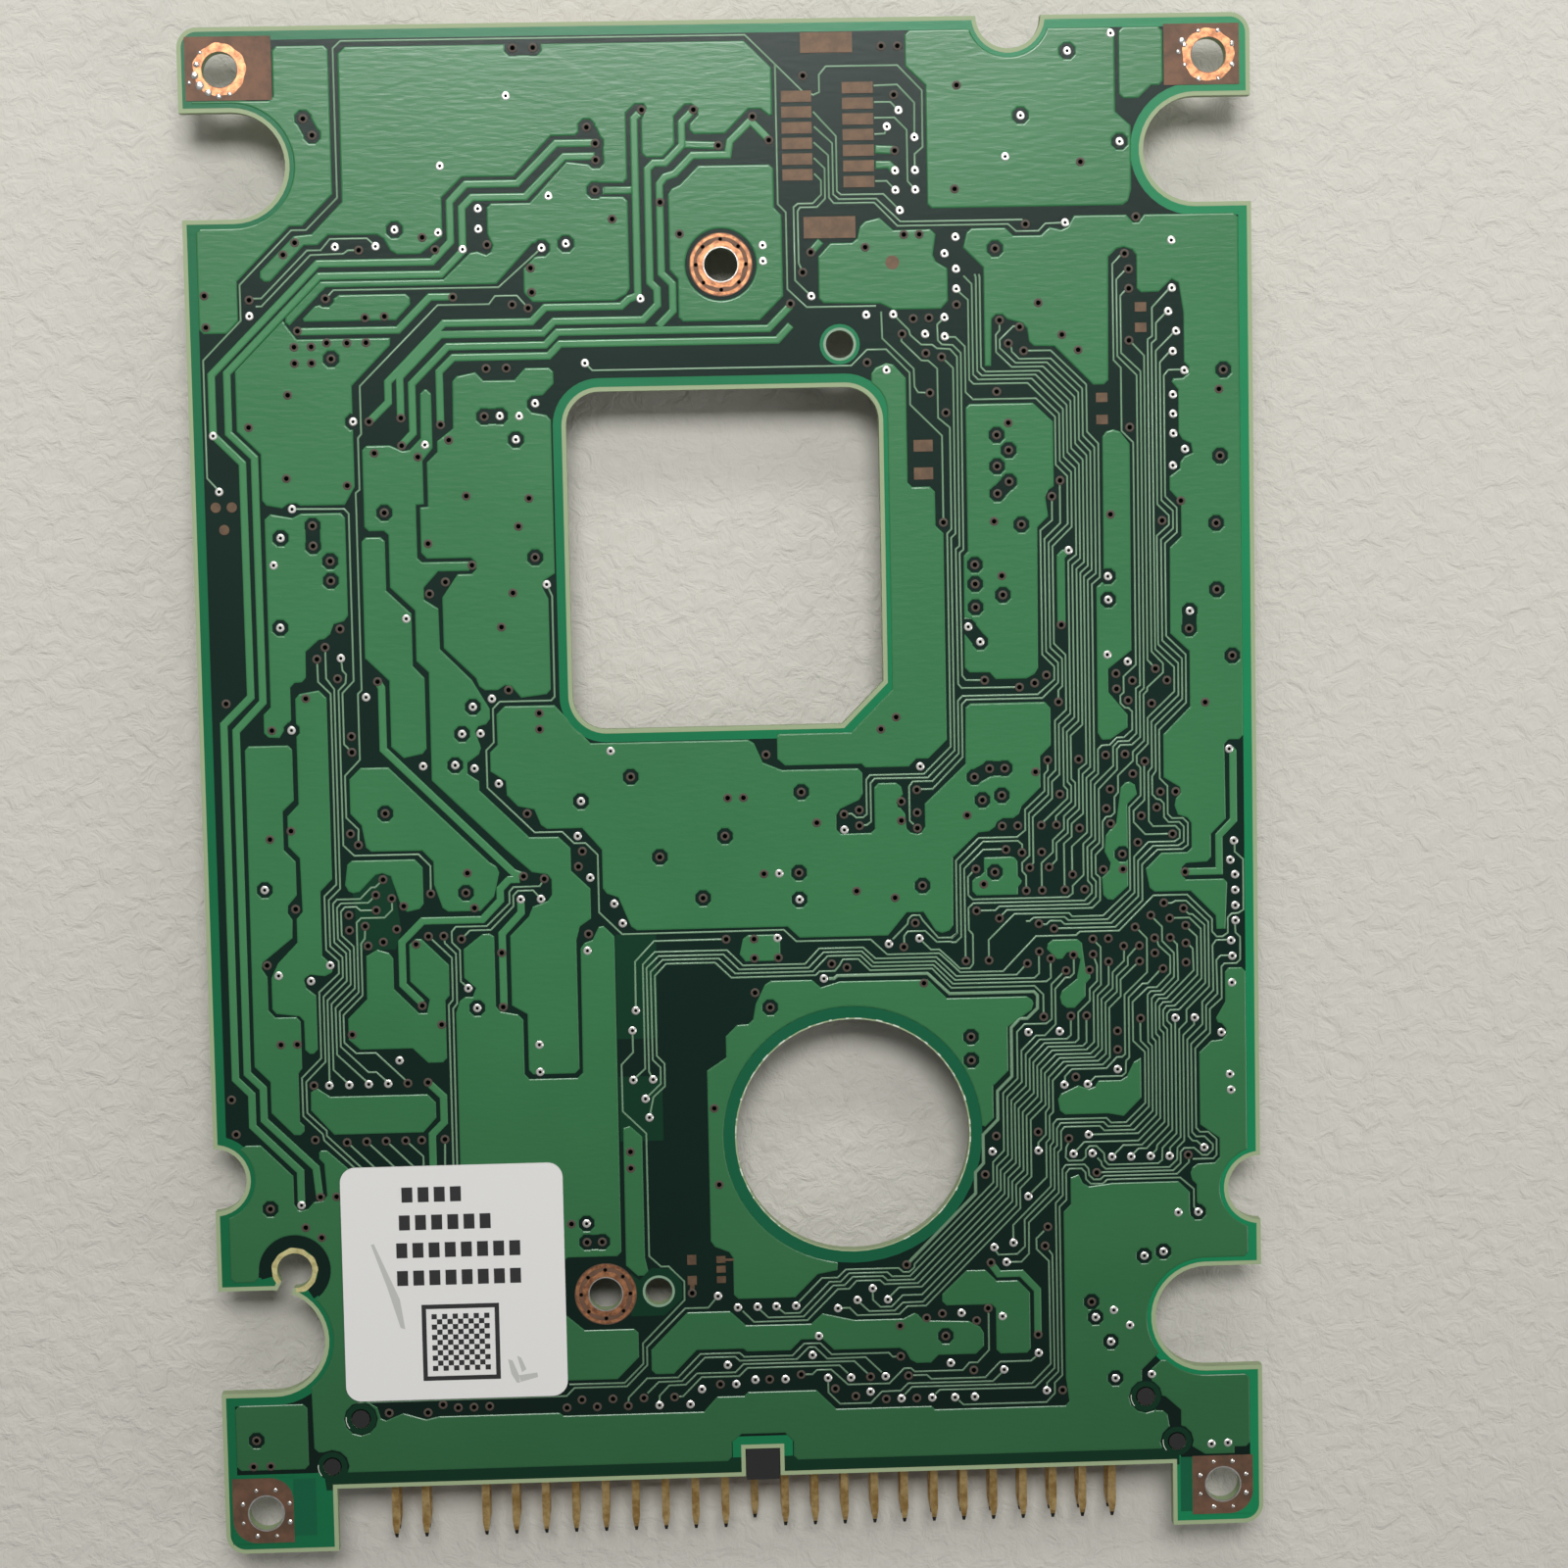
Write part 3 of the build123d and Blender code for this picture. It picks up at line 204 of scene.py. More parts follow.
def mottled(name, dark, light, size, roughness, metallic):
    """A metal whose tarnish comes in patches of the given size in mm."""
    material = new_material(name, dark, roughness, metallic)
    tree = material.node_tree
    ramp = add_node(tree, "ShaderNodeValToRGB", {"Fac": noise(tree, object_space(tree, size), 4.0, 0.65)})
    for stop, place, shade in zip(ramp.color_ramp.elements, (0.38, 0.62), (dark, light)):
        stop.position, stop.color = place, colour(shade)
    tree.links.new(ramp.outputs["Color"], shader_of(material).inputs["Base Color"])
    return material


bare_copper = mottled("bare copper, oxidised", "#57402F", "#6E4E3A", 1.4, 0.55, 0.3)
pad_copper = mottled("bare copper pad, tarnished", "#54402D", "#674E37", 0.8, 0.5, 0.3)
scraped_copper = mottled("bare copper, scraped by a screw", "#8A5C42", "#D49368", 0.45, 0.34, 0.8)
hot_tin = mottled("solder, reflowed", "#C9C6BE", "#EDEBE6", 0.3, 0.25, 0.9)
bare_ring = mottled("epoxy laminate, mask worn off", "#A39A62", "#C2B981", 0.5, 0.55, 0.0)
hole_lip = new_material("drilled lip of the laminate", "#7C9A80", 0.4)
# painted highlight: pale glints drawn on the rims of the pegs and the spindle opening
painted_rim_glint = new_material("laminate edge, polished by the cutter", "#C9D3C2", 0.3)
print_ink = new_material("label print, matt black", "#1A1A1C", 0.6)
smudge = new_material("label film, scuffed", "#B4B4B0", 0.6)
black_nylon = new_material("glass-filled nylon, moulded", "#0C0C0D", 0.6)
gold_plate = mottled("gold flash over nickel, drawn pin", "#A9864B", "#D6B87E", 0.9, 0.34, 0.8)
# near black for the last 0.3 mm of each pin
dark_pin_end = new_material("phosphor bronze, sheared end", "#1D1712", 0.6, 0.4)
epoxy_black = new_material("moulding epoxy, ejected", "#1B1B1D", 0.55)
tin_plate = new_material("tin plate, matt", "#B9B9B4", 0.35, 1.0)
cream_polymer = new_material("liquid-crystal polymer, moulded", "#CDBE9B", 0.5)
tan_ceramic = new_material("barium titanate, fired", "#A9835F", 0.45)
black_glaze = new_material("resistor glaze", "#151515", 0.35)
yellow_epoxy = new_material("tantalum capacitor epoxy", "#D8A63A", 0.5)
grey_ferrite = new_material("ferrite, moulded", "#3A3A3C", 0.6)
nickel_can = new_material("nickel silver, drawn can", "#BFBFBA", 0.3, 1.0)
label_film = new_material("label film, satin", "#DAD9D6", 0.5)
via_copper = new_material("via, tarnished copper rim", "#4B4138", 0.6, 0.2)
via_tin = new_material("via, tinned rim", "#F1EFE9", 0.3, 0.85)
# painted shade: a black disc with no reflection stands for the dark inside of each drilled hole
painted_hole_shade = new_material("drilled hole, seen from above", "#040504", 1.0, Specular_IOR_Level=0.0)

FINISHES = {
    laminate: ("board",),
    bare_copper: ("screw_lands",),
    pad_copper: ("test_pads",),
    label_film: ("label",),
    black_nylon: ("header_housing",),
    gold_plate: ("header_pins",),
    cream_polymer: ("head_socket_housing", "motor_connector_body"),
    tin_plate: (
        "head_socket_contacts", "motor_connector_contacts", "capacitor_ends", "resistor_ends",
        "tantalum_terminals",
    ),
    tan_ceramic: ("ceramic_capacitors",),
    black_glaze: ("chip_resistors",),
    yellow_epoxy: ("tantalum_capacitors",),
    grey_ferrite: ("power_inductors",),
    nickel_can: ("clock_crystal",),
}
chosen = {name: finish for finish, names in FINISHES.items() for name in names}
by_ending = {"_body": epoxy_black, "_leads": tin_plate}
for name, node in nodes.items():
    rest = next((finish for ending, finish in by_ending.items() if name.endswith(ending)), masked_copper)
    for slot in node.material_slots:
        slot.material = chosen.get(name, rest)
print("finished", len(nodes), "CAD nodes")

# %% [markdown]
# ## Pieces from outlines
# Masked copper has no sharp edge: the lacquer flows over it and leaves a soft shoulder that catches the
# light. Each CAD plate's top outline is triangulated together with copies of itself set inward, and every
# corner is lifted by its distance from the rim. That gives a shoulder which never crosses itself.


# %% Outline and curve helpers
def rim_loops(node):
    """The closed outlines of a CAD plate's upper face, each as a list of points in metres."""
    bm = bmesh.new()
    bm.from_mesh(node.data)
    bmesh.ops.remove_doubles(bm, verts=bm.verts, dist=1e-7)
    top = {f for f in bm.faces if f.normal.z > 0.9 and f.calc_center_median().z > TOP - 0.01 * MM}
    # a dict keeps the edges in the mesh's own order, so every run finds the same outlines
    edges = dict.fromkeys(e for e in bm.edges if sum(f in top for f in e.link_faces) == 1)
    loops = []
    while edges:
        start, here = edges.popitem()[0].verts
        loop = [start.co.copy(), here.co.copy()]
        while here is not start:
            edge = next(e for e in here.link_edges if e in edges)
            del edges[edge]
            here = edge.other_vert(here)
            if here is not start:
                loop.append(here.co.copy())
        loops.append(loop)
    bm.free()
    return loops


def link(name, mesh, material=None):
    """A new object at the origin."""
    piece = bpy.data.objects.new(name, mesh)
    bpy.context.scene.collection.objects.link(piece)
    if material and not mesh.materials:
        mesh.materials.append(material)
    return piece


def settle(name, mesh, material, node=None):
    """A finished piece that rides on the board's one body. It may replace a CAD node."""
    piece = link(name, mesh, material)
    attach(piece, "root")
    if node:
        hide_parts(node)
    return piece


def mesh_of(name, bm):
    """The bmesh as a new mesh."""
    mesh = bpy.data.meshes.new(name)
    bm.to_mesh(mesh)
    bm.free()
    return mesh


def mesh_of_curve(curve):
    """The curve's surface as a mesh."""
    holder = bpy.data.objects.new("outline", curve)
    bpy.context.scene.collection.objects.link(holder)
    bpy.context.view_layer.update()
    shown = holder.evaluated_get(bpy.context.evaluated_depsgraph_get())
    mesh = bpy.data.meshes.new_from_object(shown)
    bpy.data.objects.remove(holder)
    bpy.data.curves.remove(curve)
    return mesh


def add_spline(curve, points):
    """One open, straight-sided spline through the points, given in millimetres."""
    spline = curve.splines.new("POLY")
    spline.points.add(len(points) - 1)
    for point, place in zip(spline.points, points):
        point.co = (place[0], place[1], 0.0, 1.0)


def octagon(x, y, radius):
    """Eight corners of a clearance round a plated hole."""
    reach = radius / cos(pi / 8)
    return [(x + reach * cos(pi / 8 + k * pi / 4), y + reach * sin(pi / 8 + k * pi / 4)) for k in range(8)]


def flat_loops(node):
    """The outlines of a CAD plate as points in millimetres."""
    return [[(p.x / MM, p.y / MM) for p in loop] for loop in rim_loops(node)]


def sides_of(loop):
    """Each side of a closed outline, as its two ends."""
    return list(zip(loop, loop[1:] + loop[:1]))


def signed_area(loop):
    """The area inside an outline, negative if it runs clockwise."""
    return sum(a[0] * b[1] - b[0] * a[1] for a, b in sides_of(loop)) / 2


def encloses(loop, x, y):
    """True if the closed outline holds the point."""
    inside = False
    for (x0, y0), (x1, y1) in sides_of(loop):
        if (y0 > y) != (y1 > y) and x < x0 + (y - y0) * (x1 - x0) / (y1 - y0):
            inside = not inside
    return inside


def within(loops, x, y):
    """True if the point lies in the area that the outlines bound."""
    return sum(encloses(loop, x, y) for loop in loops) % 2 == 1


def middle(corners, face):
    """The centre of a triangle."""
    return [sum(corners[k][axis] for k in face) / 3 for axis in (0, 1)]


def triangulate(loops):
    """Triangles that follow every edge of the outlines, also where outlines cross."""
    points, edges = [], []
    for loop in loops:
        first = len(points)
        points += [Vector(corner) for corner in loop]
        edges += [(first + k, first + (k + 1) % len(loop)) for k in range(len(loop))]
    corners, _, faces, *_ = delaunay_2d_cdt(points, edges, [], 0, 1e-5)
    return corners, faces


def outlines_of(corners, faces):
    """The closed outlines round a set of triangles."""
    following = {}
    edges = {(f[k], f[(k + 1) % 3]) for f in faces for k in range(3)}
    for start, end in edges:
        if (end, start) not in edges:
            following.setdefault(start, []).append(end)
    loops = []
    while following:
        start = next(iter(following))
        loop, here = [], start
        while here in following:
            loop.append(tuple(corners[here]))
            ends = following[here]
            there = ends.pop()
            if not ends:
                del following[here]
            here = there
        loops.append(loop)
    return [loop for loop in loops if len(loop) > 2]


def cut_out(loops, cutters):
    """Outlines of the area inside loops with every cutter's area taken away."""
    boxes = [(min(xs), max(xs), min(ys), max(ys)) for xs, ys in (zip(*cutter) for cutter in cutters)]
    corners, faces = triangulate(loops + cutters)
    kept = []
    for face in faces:
        x, y = middle(corners, face)
        near = [c for c, box in zip(cutters, boxes) if box[0] < x < box[1] and box[2] < y < box[3]]
        if within(loops, x, y) and not any(encloses(cutter, x, y) for cutter in near):
            kept.append(face)
    return outlines_of(corners, kept)


SHORTEST_MITRE = 0.5


def inward(loop, distance):
    """The outline moved to its left by the distance, with long mitres cut short."""
    moved = []
    for before, here, after in zip(loop[-1:] + loop[:-1], loop, loop[1:] + loop[:1]):
        a = (Vector(here) - Vector(before)).normalized()
        b = (Vector(after) - Vector(here)).normalized()
        left = Vector((-a.y, a.x))
        side = Vector((-a.y - b.y, a.x + b.x))
        if side.length < 1e-6:
            side = left.copy()
        side.normalize()
        reach = distance / max(SHORTEST_MITRE, side.dot(left))
        moved.append((here[0] + side.x * reach, here[1] + side.y * reach))
    return moved


def plate_mesh(name, places, faces):
    """A mesh of the faces, without the points that no face uses."""
    whole = bpy.data.meshes.new("whole")
    whole.from_pydata(places, [], faces)
    bm = bmesh.new()
    bm.from_mesh(whole)
    bpy.data.meshes.remove(whole)
    bmesh.ops.delete(bm, geom=[v for v in bm.verts if not v.link_faces], context="VERTS")
    return mesh_of(name, bm)


def edge_distance(x, y, starts, ends):
    """Distance from a point to the nearest of many segments."""
    along = ends - starts
    part = ((np.array((x, y)) - starts) * along).sum(1) / (along * along).sum(1)
    nearest = starts + along * np.clip(part, 0.0, 1.0)[:, None]
    return np.hypot(nearest[:, 0] - x, nearest[:, 1] - y).min()


def soft_plate(name, loops, profile, base):
    """A plate whose rim rises over a soft shoulder. profile lists (distance from the rim, height) in mm."""
    steps, heights = zip(*profile)
    rings = loops + [inward(loop, step) for loop in loops for step in steps[1:]]
    starts, ends = np.array([side for loop in loops for side in sides_of(loop)]).transpose(1, 0, 2)
    corners, faces = triangulate(rings)
    kept = [face for face in faces if within(loops, *middle(corners, face))]
    places = []
    for x, y in corners:
        height = np.interp(edge_distance(x, y, starts, ends), steps, heights)
        places.append((x * MM, y * MM, base + height * MM))
    return plate_mesh(name, places, kept)


print("outline helpers ready")

# %% [markdown]
# ## Solder mask on the board
# The mask stops about 0.3 mm short of every routed edge, and the dark inner plane about 0.85 mm short of
# it. The board's outline is triangulated together with two inset copies of itself, and each triangle
# takes the colour that its distance from the edge calls for.

# %% Mask skin
RIM_MM = 0.28
MARGIN_MM = 0.85
SKIN_MM = 0.006
SMALL_HOLE_MM = 12.0
LOCATING_HOLES = [(7.6, 28.95), (-5.55, -32.97)]
CLEAR_OF_HOLE_MM = 1.3
HOLE_STEPS = 24


def circle(x, y, radius, steps):
    """The corners of a round outline."""
    turns = [2 * pi * k / steps for k in range(steps)]
    return [(x + radius * cos(turn), y + radius * sin(turn)) for turn in turns]


NO_PLANE = [
    circle(*LOCATING_HOLES[0], CLEAR_OF_HOLE_MM, HOLE_STEPS),
    [(-36.0, -44.5), (-27.9, -44.5), (-27.9, -52.0), (-36.0, -52.0)],
    [(29.0, -45.2), (36.0, -45.2), (36.0, -52.0), (29.0, -52.0)],
]
# fields that take a darker green: a band along the lower edge and a few patches inside
DEEP_FIELDS = [
    [(-7.4, -31.7), (-6.8, -32.2), (-6.0, -31.4), (-4.6, -31.5), (-4.0, -32.5), (-4.0, -33.5), (-5.2, -34.6),
     (-7.4, -34.6)],
    [(-27.8, -44.3), (28.9, -44.3), (28.9, -45.7), (-27.8, -45.7)],
    [(-7.85, -9.2), (-5.2, -9.2), (-5.2, -16.1), (-7.85, -16.1)],
    [(-7.85, -18.6), (-5.0, -18.6), (-5.0, -22.9), (-7.85, -22.9)],
    [(-24.9, -5.7), (-23.4, -4.9), (-22.3, -4.9), (-21.8, -8.6), (-22.2, -9.8), (-24.6, -9.8)],
]
SPINDLE = (7.5, -22.87)
SPINDLE_RIM_MM = 0.1


def loop_length(loop):
    """The length of a closed outline."""
    return sum(hypot(a[0] - b[0], a[1] - b[1]) for a, b in sides_of(loop))


def mask_shade(x, y, distances, spindle):
    """Which of the skin's materials a place takes: 0 plane, 1 edge, 2 dark field, 3 spindle rim."""
    if any(encloses(loop, x, y) for loop in DEEP_FIELDS):
        return 2
    if any(opening and distance < MARGIN_MM for opening, distance in zip(spindle, distances)):
        return 3
    return int(any(encloses(loop, x, y) for loop in NO_PLANE) or min(distances) < MARGIN_MM)


def mask_skin():
    """The mask on the board's upper face: an emerald band along every routed edge, dark inside it."""
    loops = flat_loops(nodes["board"])
    outer = max(loops, key=lambda loop: abs(signed_area(loop)))
    turned = [loop if (signed_area(loop) > 0) == (loop is outer) else loop[::-1] for loop in loops]
    routed = [loop for loop in turned if loop_length(loop) > SMALL_HOLE_MM]
    spindle = [signed_area(loop) < 0 and encloses(loop, *SPINDLE) for loop in routed]
    rims = [SPINDLE_RIM_MM if opening else RIM_MM for opening in spindle]
    insets = [inward(loop, d) for loop, rim in zip(routed, rims) for d in (rim, MARGIN_MM)]
    sides = [np.array(sides_of(loop)).transpose(1, 0, 2) for loop in routed]
    corners, faces = triangulate(turned + insets + NO_PLANE + DEEP_FIELDS)
    kept, shades = [], []
    for face in faces:
        x, y = middle(corners, face)
        distances = [edge_distance(x, y, starts, ends) for starts, ends in sides]
        if within(turned, x, y) and all(distance >= rim for distance, rim in zip(distances, rims)):
            kept.append(face)
            shades.append(mask_shade(x, y, distances, spindle))
    height = TOP + SKIN_MM * MM
    mesh = plate_mesh("mask_skin", [(c[0] * MM, c[1] * MM, height) for c in corners], kept)
    for material in (masked_plane, masked_edge, masked_bare, masked_ring):
        mesh.materials.append(material)
    mesh.polygons.foreach_set("material_index", shades)
    return settle("mask_skin", mesh, None)


skin = mask_skin()
print("mask skin:", len(skin.data.polygons), "faces")

# %% [markdown]
# ## Plated holes
# Hundreds of small plated holes carry signals through the board. Some are filled with tin and shine,
# the others show tarnished copper. Where one passes through a pour without touching it, the pour keeps
# clear of it in a small octagon.

# %% Places of the plated holes, in mm
TINNED_UPPER = [
    (25.47, 48.56), (22.64, 47.47), (-13.58, 45.17), (11.67, 43.86), (19.56, 43.4), (10.9, 42.83),
    (12.67, 42.12), (25.97, 41.64), (18.53, 40.8), (-17.92, 40.78), (11.38, 40.01), (12.67, 40.01),
    (-11.01, 38.76), (11.38, 38.76), (12.67, 38.76), (-15.56, 38.03), (11.64, 37.47), (-20.94, 36.77),
    (-15.56, 36.73), (-18.15, 36.54), (22.36, 36.5), (-24.78, 35.74), (-22.18, 35.74), (-9.96, 35.7),
    (15.22, 35.7), (-16.6, 35.45), (-11.53, 35.45), (2.73, 35.38), (29.26, 35.26), (14.49, 34.65),
    (2.73, 34.37), (15.22, 33.65), (15.22, 32.37), (29.26, 32.19), (-5.24, 32.1), (5.81, 32.06),
    (-30.4, 31.42), (9.35, 30.8), (11.1, 30.8), (29, 30.68), (14.42, 30.55), (13.15, 29.5),
    (29.5, 29.4), (14.42, 29.32), (29.27, 28.1), (-8.92, 28.03), (10.6, 27.22), (30.02, 26.85),
    (-12.2, 25.5), (29.25, 25.3), (-14.5, 24.73), (-13.25, 24.7), (-23.95, 24.55), (29.25, 24.05),
    (-32.97, 23.8), (-13.5, 23.2), (-19.37, 22.97), (29.25, 22.78), (30, 21.75), (29.2, 20.7),
    (-32.7, 20.2), (-28.05, 19), (-28.85, 17.15), (-29.35, 15.4), (22.3, 15.32), (-11.75, 13.8),
    (24.85, 13.57), (24.85, 12.04), (-20.9, 11.77), (-29.05, 11.35), (30.2, 11.2),
]
TARNISHED_UPPER = [
    (-13.06, 48.2), (-11.76, 48.2), (10.62, 47.96), (11.67, 47.96), (5.54, 46.15), (15.45, 45.4),
    (11.38, 44.85), (-4.88, 44.14), (-1.55, 44.1), (-26.58, 43.92), (2.24, 43.6), (-8.45, 43.09),
    (-26.03, 42.86), (3.27, 42.09), (-7.91, 42.06), (0, 41.8), (11.38, 41.29), (-7.91, 41),
    (23.41, 40.38), (-8, 39.08), (15.22, 38.78), (-3.83, 38.24), (-6.94, 37.22), (26.97, 36.8),
    (19.78, 36.45), (-19.17, 36.26), (-2.62, 36.2), (-27.35, 36.06), (11.88, 35.91), (12.88, 35.91),
    (-15.03, 35.72), (-23.27, 35.51), (-18.37, 35.46), (-28.12, 35.3), (9.36, 35.14), (17.78, 34.91),
    (5.83, 34.88), (26.2, 34.45), (-12.27, 34.18), (5.29, 33.6), (26.45, 33.45), (-33.24, 32.77),
    (-12.23, 32.63), (-30.38, 32.45), (-25.49, 32.45), (-17.32, 32.41), (26.45, 32.2), (-13.51, 31.86),
    (-12.49, 31.62), (4.45, 31.6), (20.54, 31.38), (15.22, 31.35), (-21.74, 31.26), (-22.99, 31.2),
    (-33.2, 30.75), (13.42, 30.53), (12.4, 30.5), (-27.35, 30.42), (18, 30.3), (19.3, 29.85),
    (-25.5, 29.63), (-24.2, 29.6), (-22.97, 29.6), (11.65, 29.53), (-27.6, 29.4), (-26.5, 29.4),
    (22.05, 29.3), (26.42, 28.85), (18.55, 28.8), (-25.25, 28.6), (-27.6, 28.35), (-26.5, 28.35),
    (19.55, 28.3), (23.1, 28.3), (13.18, 28.26), (14.2, 28), (-15.3, 27.8), (-14, 27.8), (9.35, 27.73),
    (32.57, 26.85), (-28.1, 26.33), (13.4, 25.7), (17.75, 25.7), (32.27, 25.6), (-20.87, 24.73),
    (-15.5, 24.72), (-22.93, 24.53), (14.42, 24.4), (-30.67, 24.3), (-18.33, 24.25), (18.47, 23.67),
    (-17.83, 23.25), (26.4, 23.23), (-20.87, 22.95), (17.7, 22.9), (-22.65, 22.5), (-19.85, 22.2),
    (18.47, 21.9), (32.3, 21.27), (-28.35, 20.98), (17.7, 20.87), (-24.45, 20.45), (21.8, 19.87),
    (18.47, 19.86), (-16.8, 19.63), (-12.75, 19.4), (17.7, 19.1), (21.25, 18.85), (-22.12, 18.65),
    (29.7, 18.4), (-26.77, 17.9), (-13.48, 17.6), (25.07, 17.6), (14.14, 17.3), (17.45, 17.3),
    (28.45, 17.13), (19.23, 17.06), (32, 16.9), (-26.77, 16.6), (-19.35, 16.6), (-25.7, 15.6),
    (-12.45, 15.57), (-16.55, 15.15), (16.15, 14.5), (-25.7, 14.33), (-18.3, 14.1), (17.9, 13.75),
    (-19.35, 13.35), (-13.95, 13.3), (16.15, 13.25), (32, 12.57), (17.95, 12.5), (16.15, 11.73),
    (-25.2, 11.2), (-14.75, 11.1),
]
TINNED_MIDDLE = [
    (15.65, 10.47), (16.42, 9.47), (-25.2, 9.3), (24.75, 8.45), (26.08, 7.97),
    (-23.65, 6.73), (-15.5, 6.45), (-16.75, 5.95), (-28.53, 4.68), (-17.5, 4.2), (-16.3, 4.2),
    (-7.87, 2.87), (-18, 2.17), (-20.08, 2.15), (32.7, 2.1), (-16.75, 1.93), (12.35, 1.4), (-15.2, 0.9),
    (-9.88, -0.37), (-10.15, -2.65), (7.3, -2.65), (32.95, -3.97), (32.7, -5.23), (-9.4, -5.4),
    (2.97, -5.42), (-30.6, -5.7), (33, -6.2), (-13.97, -6.72), (-12.65, -6.72), (-7.87, -7.15),
    (4.27, -7.17), (33, -7.23), (33, -8.25), (-7.35, -8.45),
]
TARNISHED_MIDDLE = [
    (32.97, 8.22),
    (21.75, 10.47), (30.15, 10.05), (-26.2, 10.03), (-26.75, 9.27), (-25.45, 7.97), (-22.87, 7.73),
    (27.9, 7.47), (20.73, 7.2), (25.3, 7.2), (-14.4, 7), (16.67, 6.95), (-27.55, 6.73), (26.37, 6.72),
    (19.95, 6.7), (28.65, 6.7), (-32.7, 6.5), (18.95, 6.45), (25.32, 6.2), (-12.45, 5.45), (21.5, 5.43),
    (26.08, 5.43), (27.62, 5.2), (31.15, 5.2), (-29.8, 4.7), (10.83, 4.67), (-12.45, 4.4),
    (-24.67, 4.2), (9.82, 3.9), (-24.67, 3.17), (2.27, 2.4), (25.83, 1.9), (24.55, 1.87), (20.73, 1.63),
    (22.77, 1.63), (27.13, 1.4), (-6.6, 1.15), (16.9, 1.15), (17.9, 1.15), (19.92, 0.87), (15.9, 0.62),
    (26.33, 0.6), (4.52, -0.1), (12.1, -0.13), (-0.3, -0.38), (0.73, -0.38), (24.82, -0.38),
    (17.68, -0.63), (21.5, -0.63), (28.13, -0.63), (29.15, -0.63), (11.07, -0.87), (-22.63, -0.88),
    (16.4, -0.9), (-13.4, -1.1), (8.3, -1.37), (7.3, -1.63), (12.1, -1.63), (24.55, -1.65),
    (27.88, -1.65), (-28.77, -1.88), (15.38, -1.88), (11.05, -2.13), (5.5, -2.14), (-24.92, -2.15),
    (26.85, -2.18), (-30.15, -2.4), (8.3, -2.4), (12.1, -2.65), (17.68, -2.65), (18.7, -2.65),
    (20.25, -2.65), (21.25, -2.65), (24.82, -2.65), (-0.53, -2.88), (-24.43, -2.9), (22.77, -2.9),
    (28.9, -3.43), (-9.87, -3.65), (26.6, -3.93), (-4.82, -4.15), (17.9, -4.2), (18.95, -4.42),
    (20.25, -4.42), (-10.15, -4.65), (25.57, -4.68), (-17.4, -4.9), (-22.9, -5.2), (-13.75, -5.2),
    (-12.4, -5.4), (4.27, -5.4), (1.97, -5.42), (15.9, -5.43), (19.45, -5.43), (20.73, -5.43),
    (17.15, -5.67), (24.3, -5.68), (25.6, -5.68), (22.27, -5.95), (29.7, -5.95), (-23.4, -6.2),
    (-19.82, -6.2), (-17.53, -6.2), (-22.37, -6.45), (12.37, -6.45), (16.4, -6.45), (8.03, -6.7),
    (-2.05, -6.92), (19.2, -6.95), (20.25, -6.95), (21.75, -6.95), (23.05, -6.95), (-21.6, -6.97),
    (-28.63, -7), (-23.4, -7.2), (-17, -7.2), (10.55, -7.2), (-25.18, -7.48), (28.27, -7.97),
    (15.9, -8.2), (-24.15, -8.23), (29.57, -8.37), (-25.18, -8.48), (-22.1, -8.48), (17.4, -8.73),
    (27.4, -8.77), (11.85, -8.9), (28.65, -9),
]
TINNED_LOWER = [
    (33, -9.25), (2.77, -9.67), (12.1, -9.93), (-9.7, -10.2), (10.08, -10.25), (32.7, -10.57),
    (-26.5, -10.75), (-29.87, -11.35), (32.77, -11.6), (-27.78, -11.75), (5.77, -12.43),
    (-17.55, -12.48), (32.73, -13.37), (-17, -13.8), (-6.63, -14.23), (-6.88, -15.55), (28.95, -15.63),
    (30.23, -15.64), (-13, -16.33), (19.2, -16.33), (21.27, -16.33), (32, -16.67), (-22.17, -17.13),
    (-13, -18.13), (-24.22, -18.65), (-22.95, -18.65), (-26.8, -18.67), (-25.5, -18.67), (-6.9, -18.83),
    (-5.6, -18.83), (25.08, -18.95), (32.53, -19.47), (21.53, -19.9), (23.08, -19.9), (-6.13, -20.1),
    (32.6, -20.52), (-5.9, -21.35), (23.1, -23.27), (16.7, -24.23), (19.75, -24.25), (30.77, -24.33),
    (22.07, -24.53), (23.33, -24.53), (24.63, -24.8), (25.9, -24.82), (27.2, -24.82), (28.46, -24.85),
    (-28.86, -26.56), (19.03, -27.3), (-10.2, -28.3), (29, -28.65), (30.33, -28.65), (18, -30.38),
    (16.72, -30.65), (27.98, -31.25), (26.7, -31.5), (17.52, -31.67), (8.6, -33.18), (-1.65, -33.4),
    (7.58, -33.93), (9.6, -33.95), (-0.35, -34.2), (0.95, -34.2), (2.2, -34.2), (3.5, -34.2),
    (6.28, -34.45), (14.47, -35), (24.62, -35.1), (17.2, -35.3), (23.4, -35.55), (25.68, -36.15),
    (4.98, -36.28), (24.4, -37.23), (4.53, -37.55), (19.57, -37.85), (-1.1, -38.05), (13.7, -38.35),
    (17.25, -38.9), (0.7, -39.1), (2.7, -39.12), (5.53, -39.12), (9.35, -39.12), (7.05, -39.14),
    (-0.57, -39.35), (27.1, -39.5), (-2.85, -39.63), (24.68, -39.7), (8.33, -40.13), (20.07, -40.4),
    (-5.68, -40.62), (-3.63, -40.62), (10.38, -40.65), (12.43, -40.65), (13.95, -40.68),
    (15.27, -40.68), (32.15, -44.3), (31.05, -44.35),
]
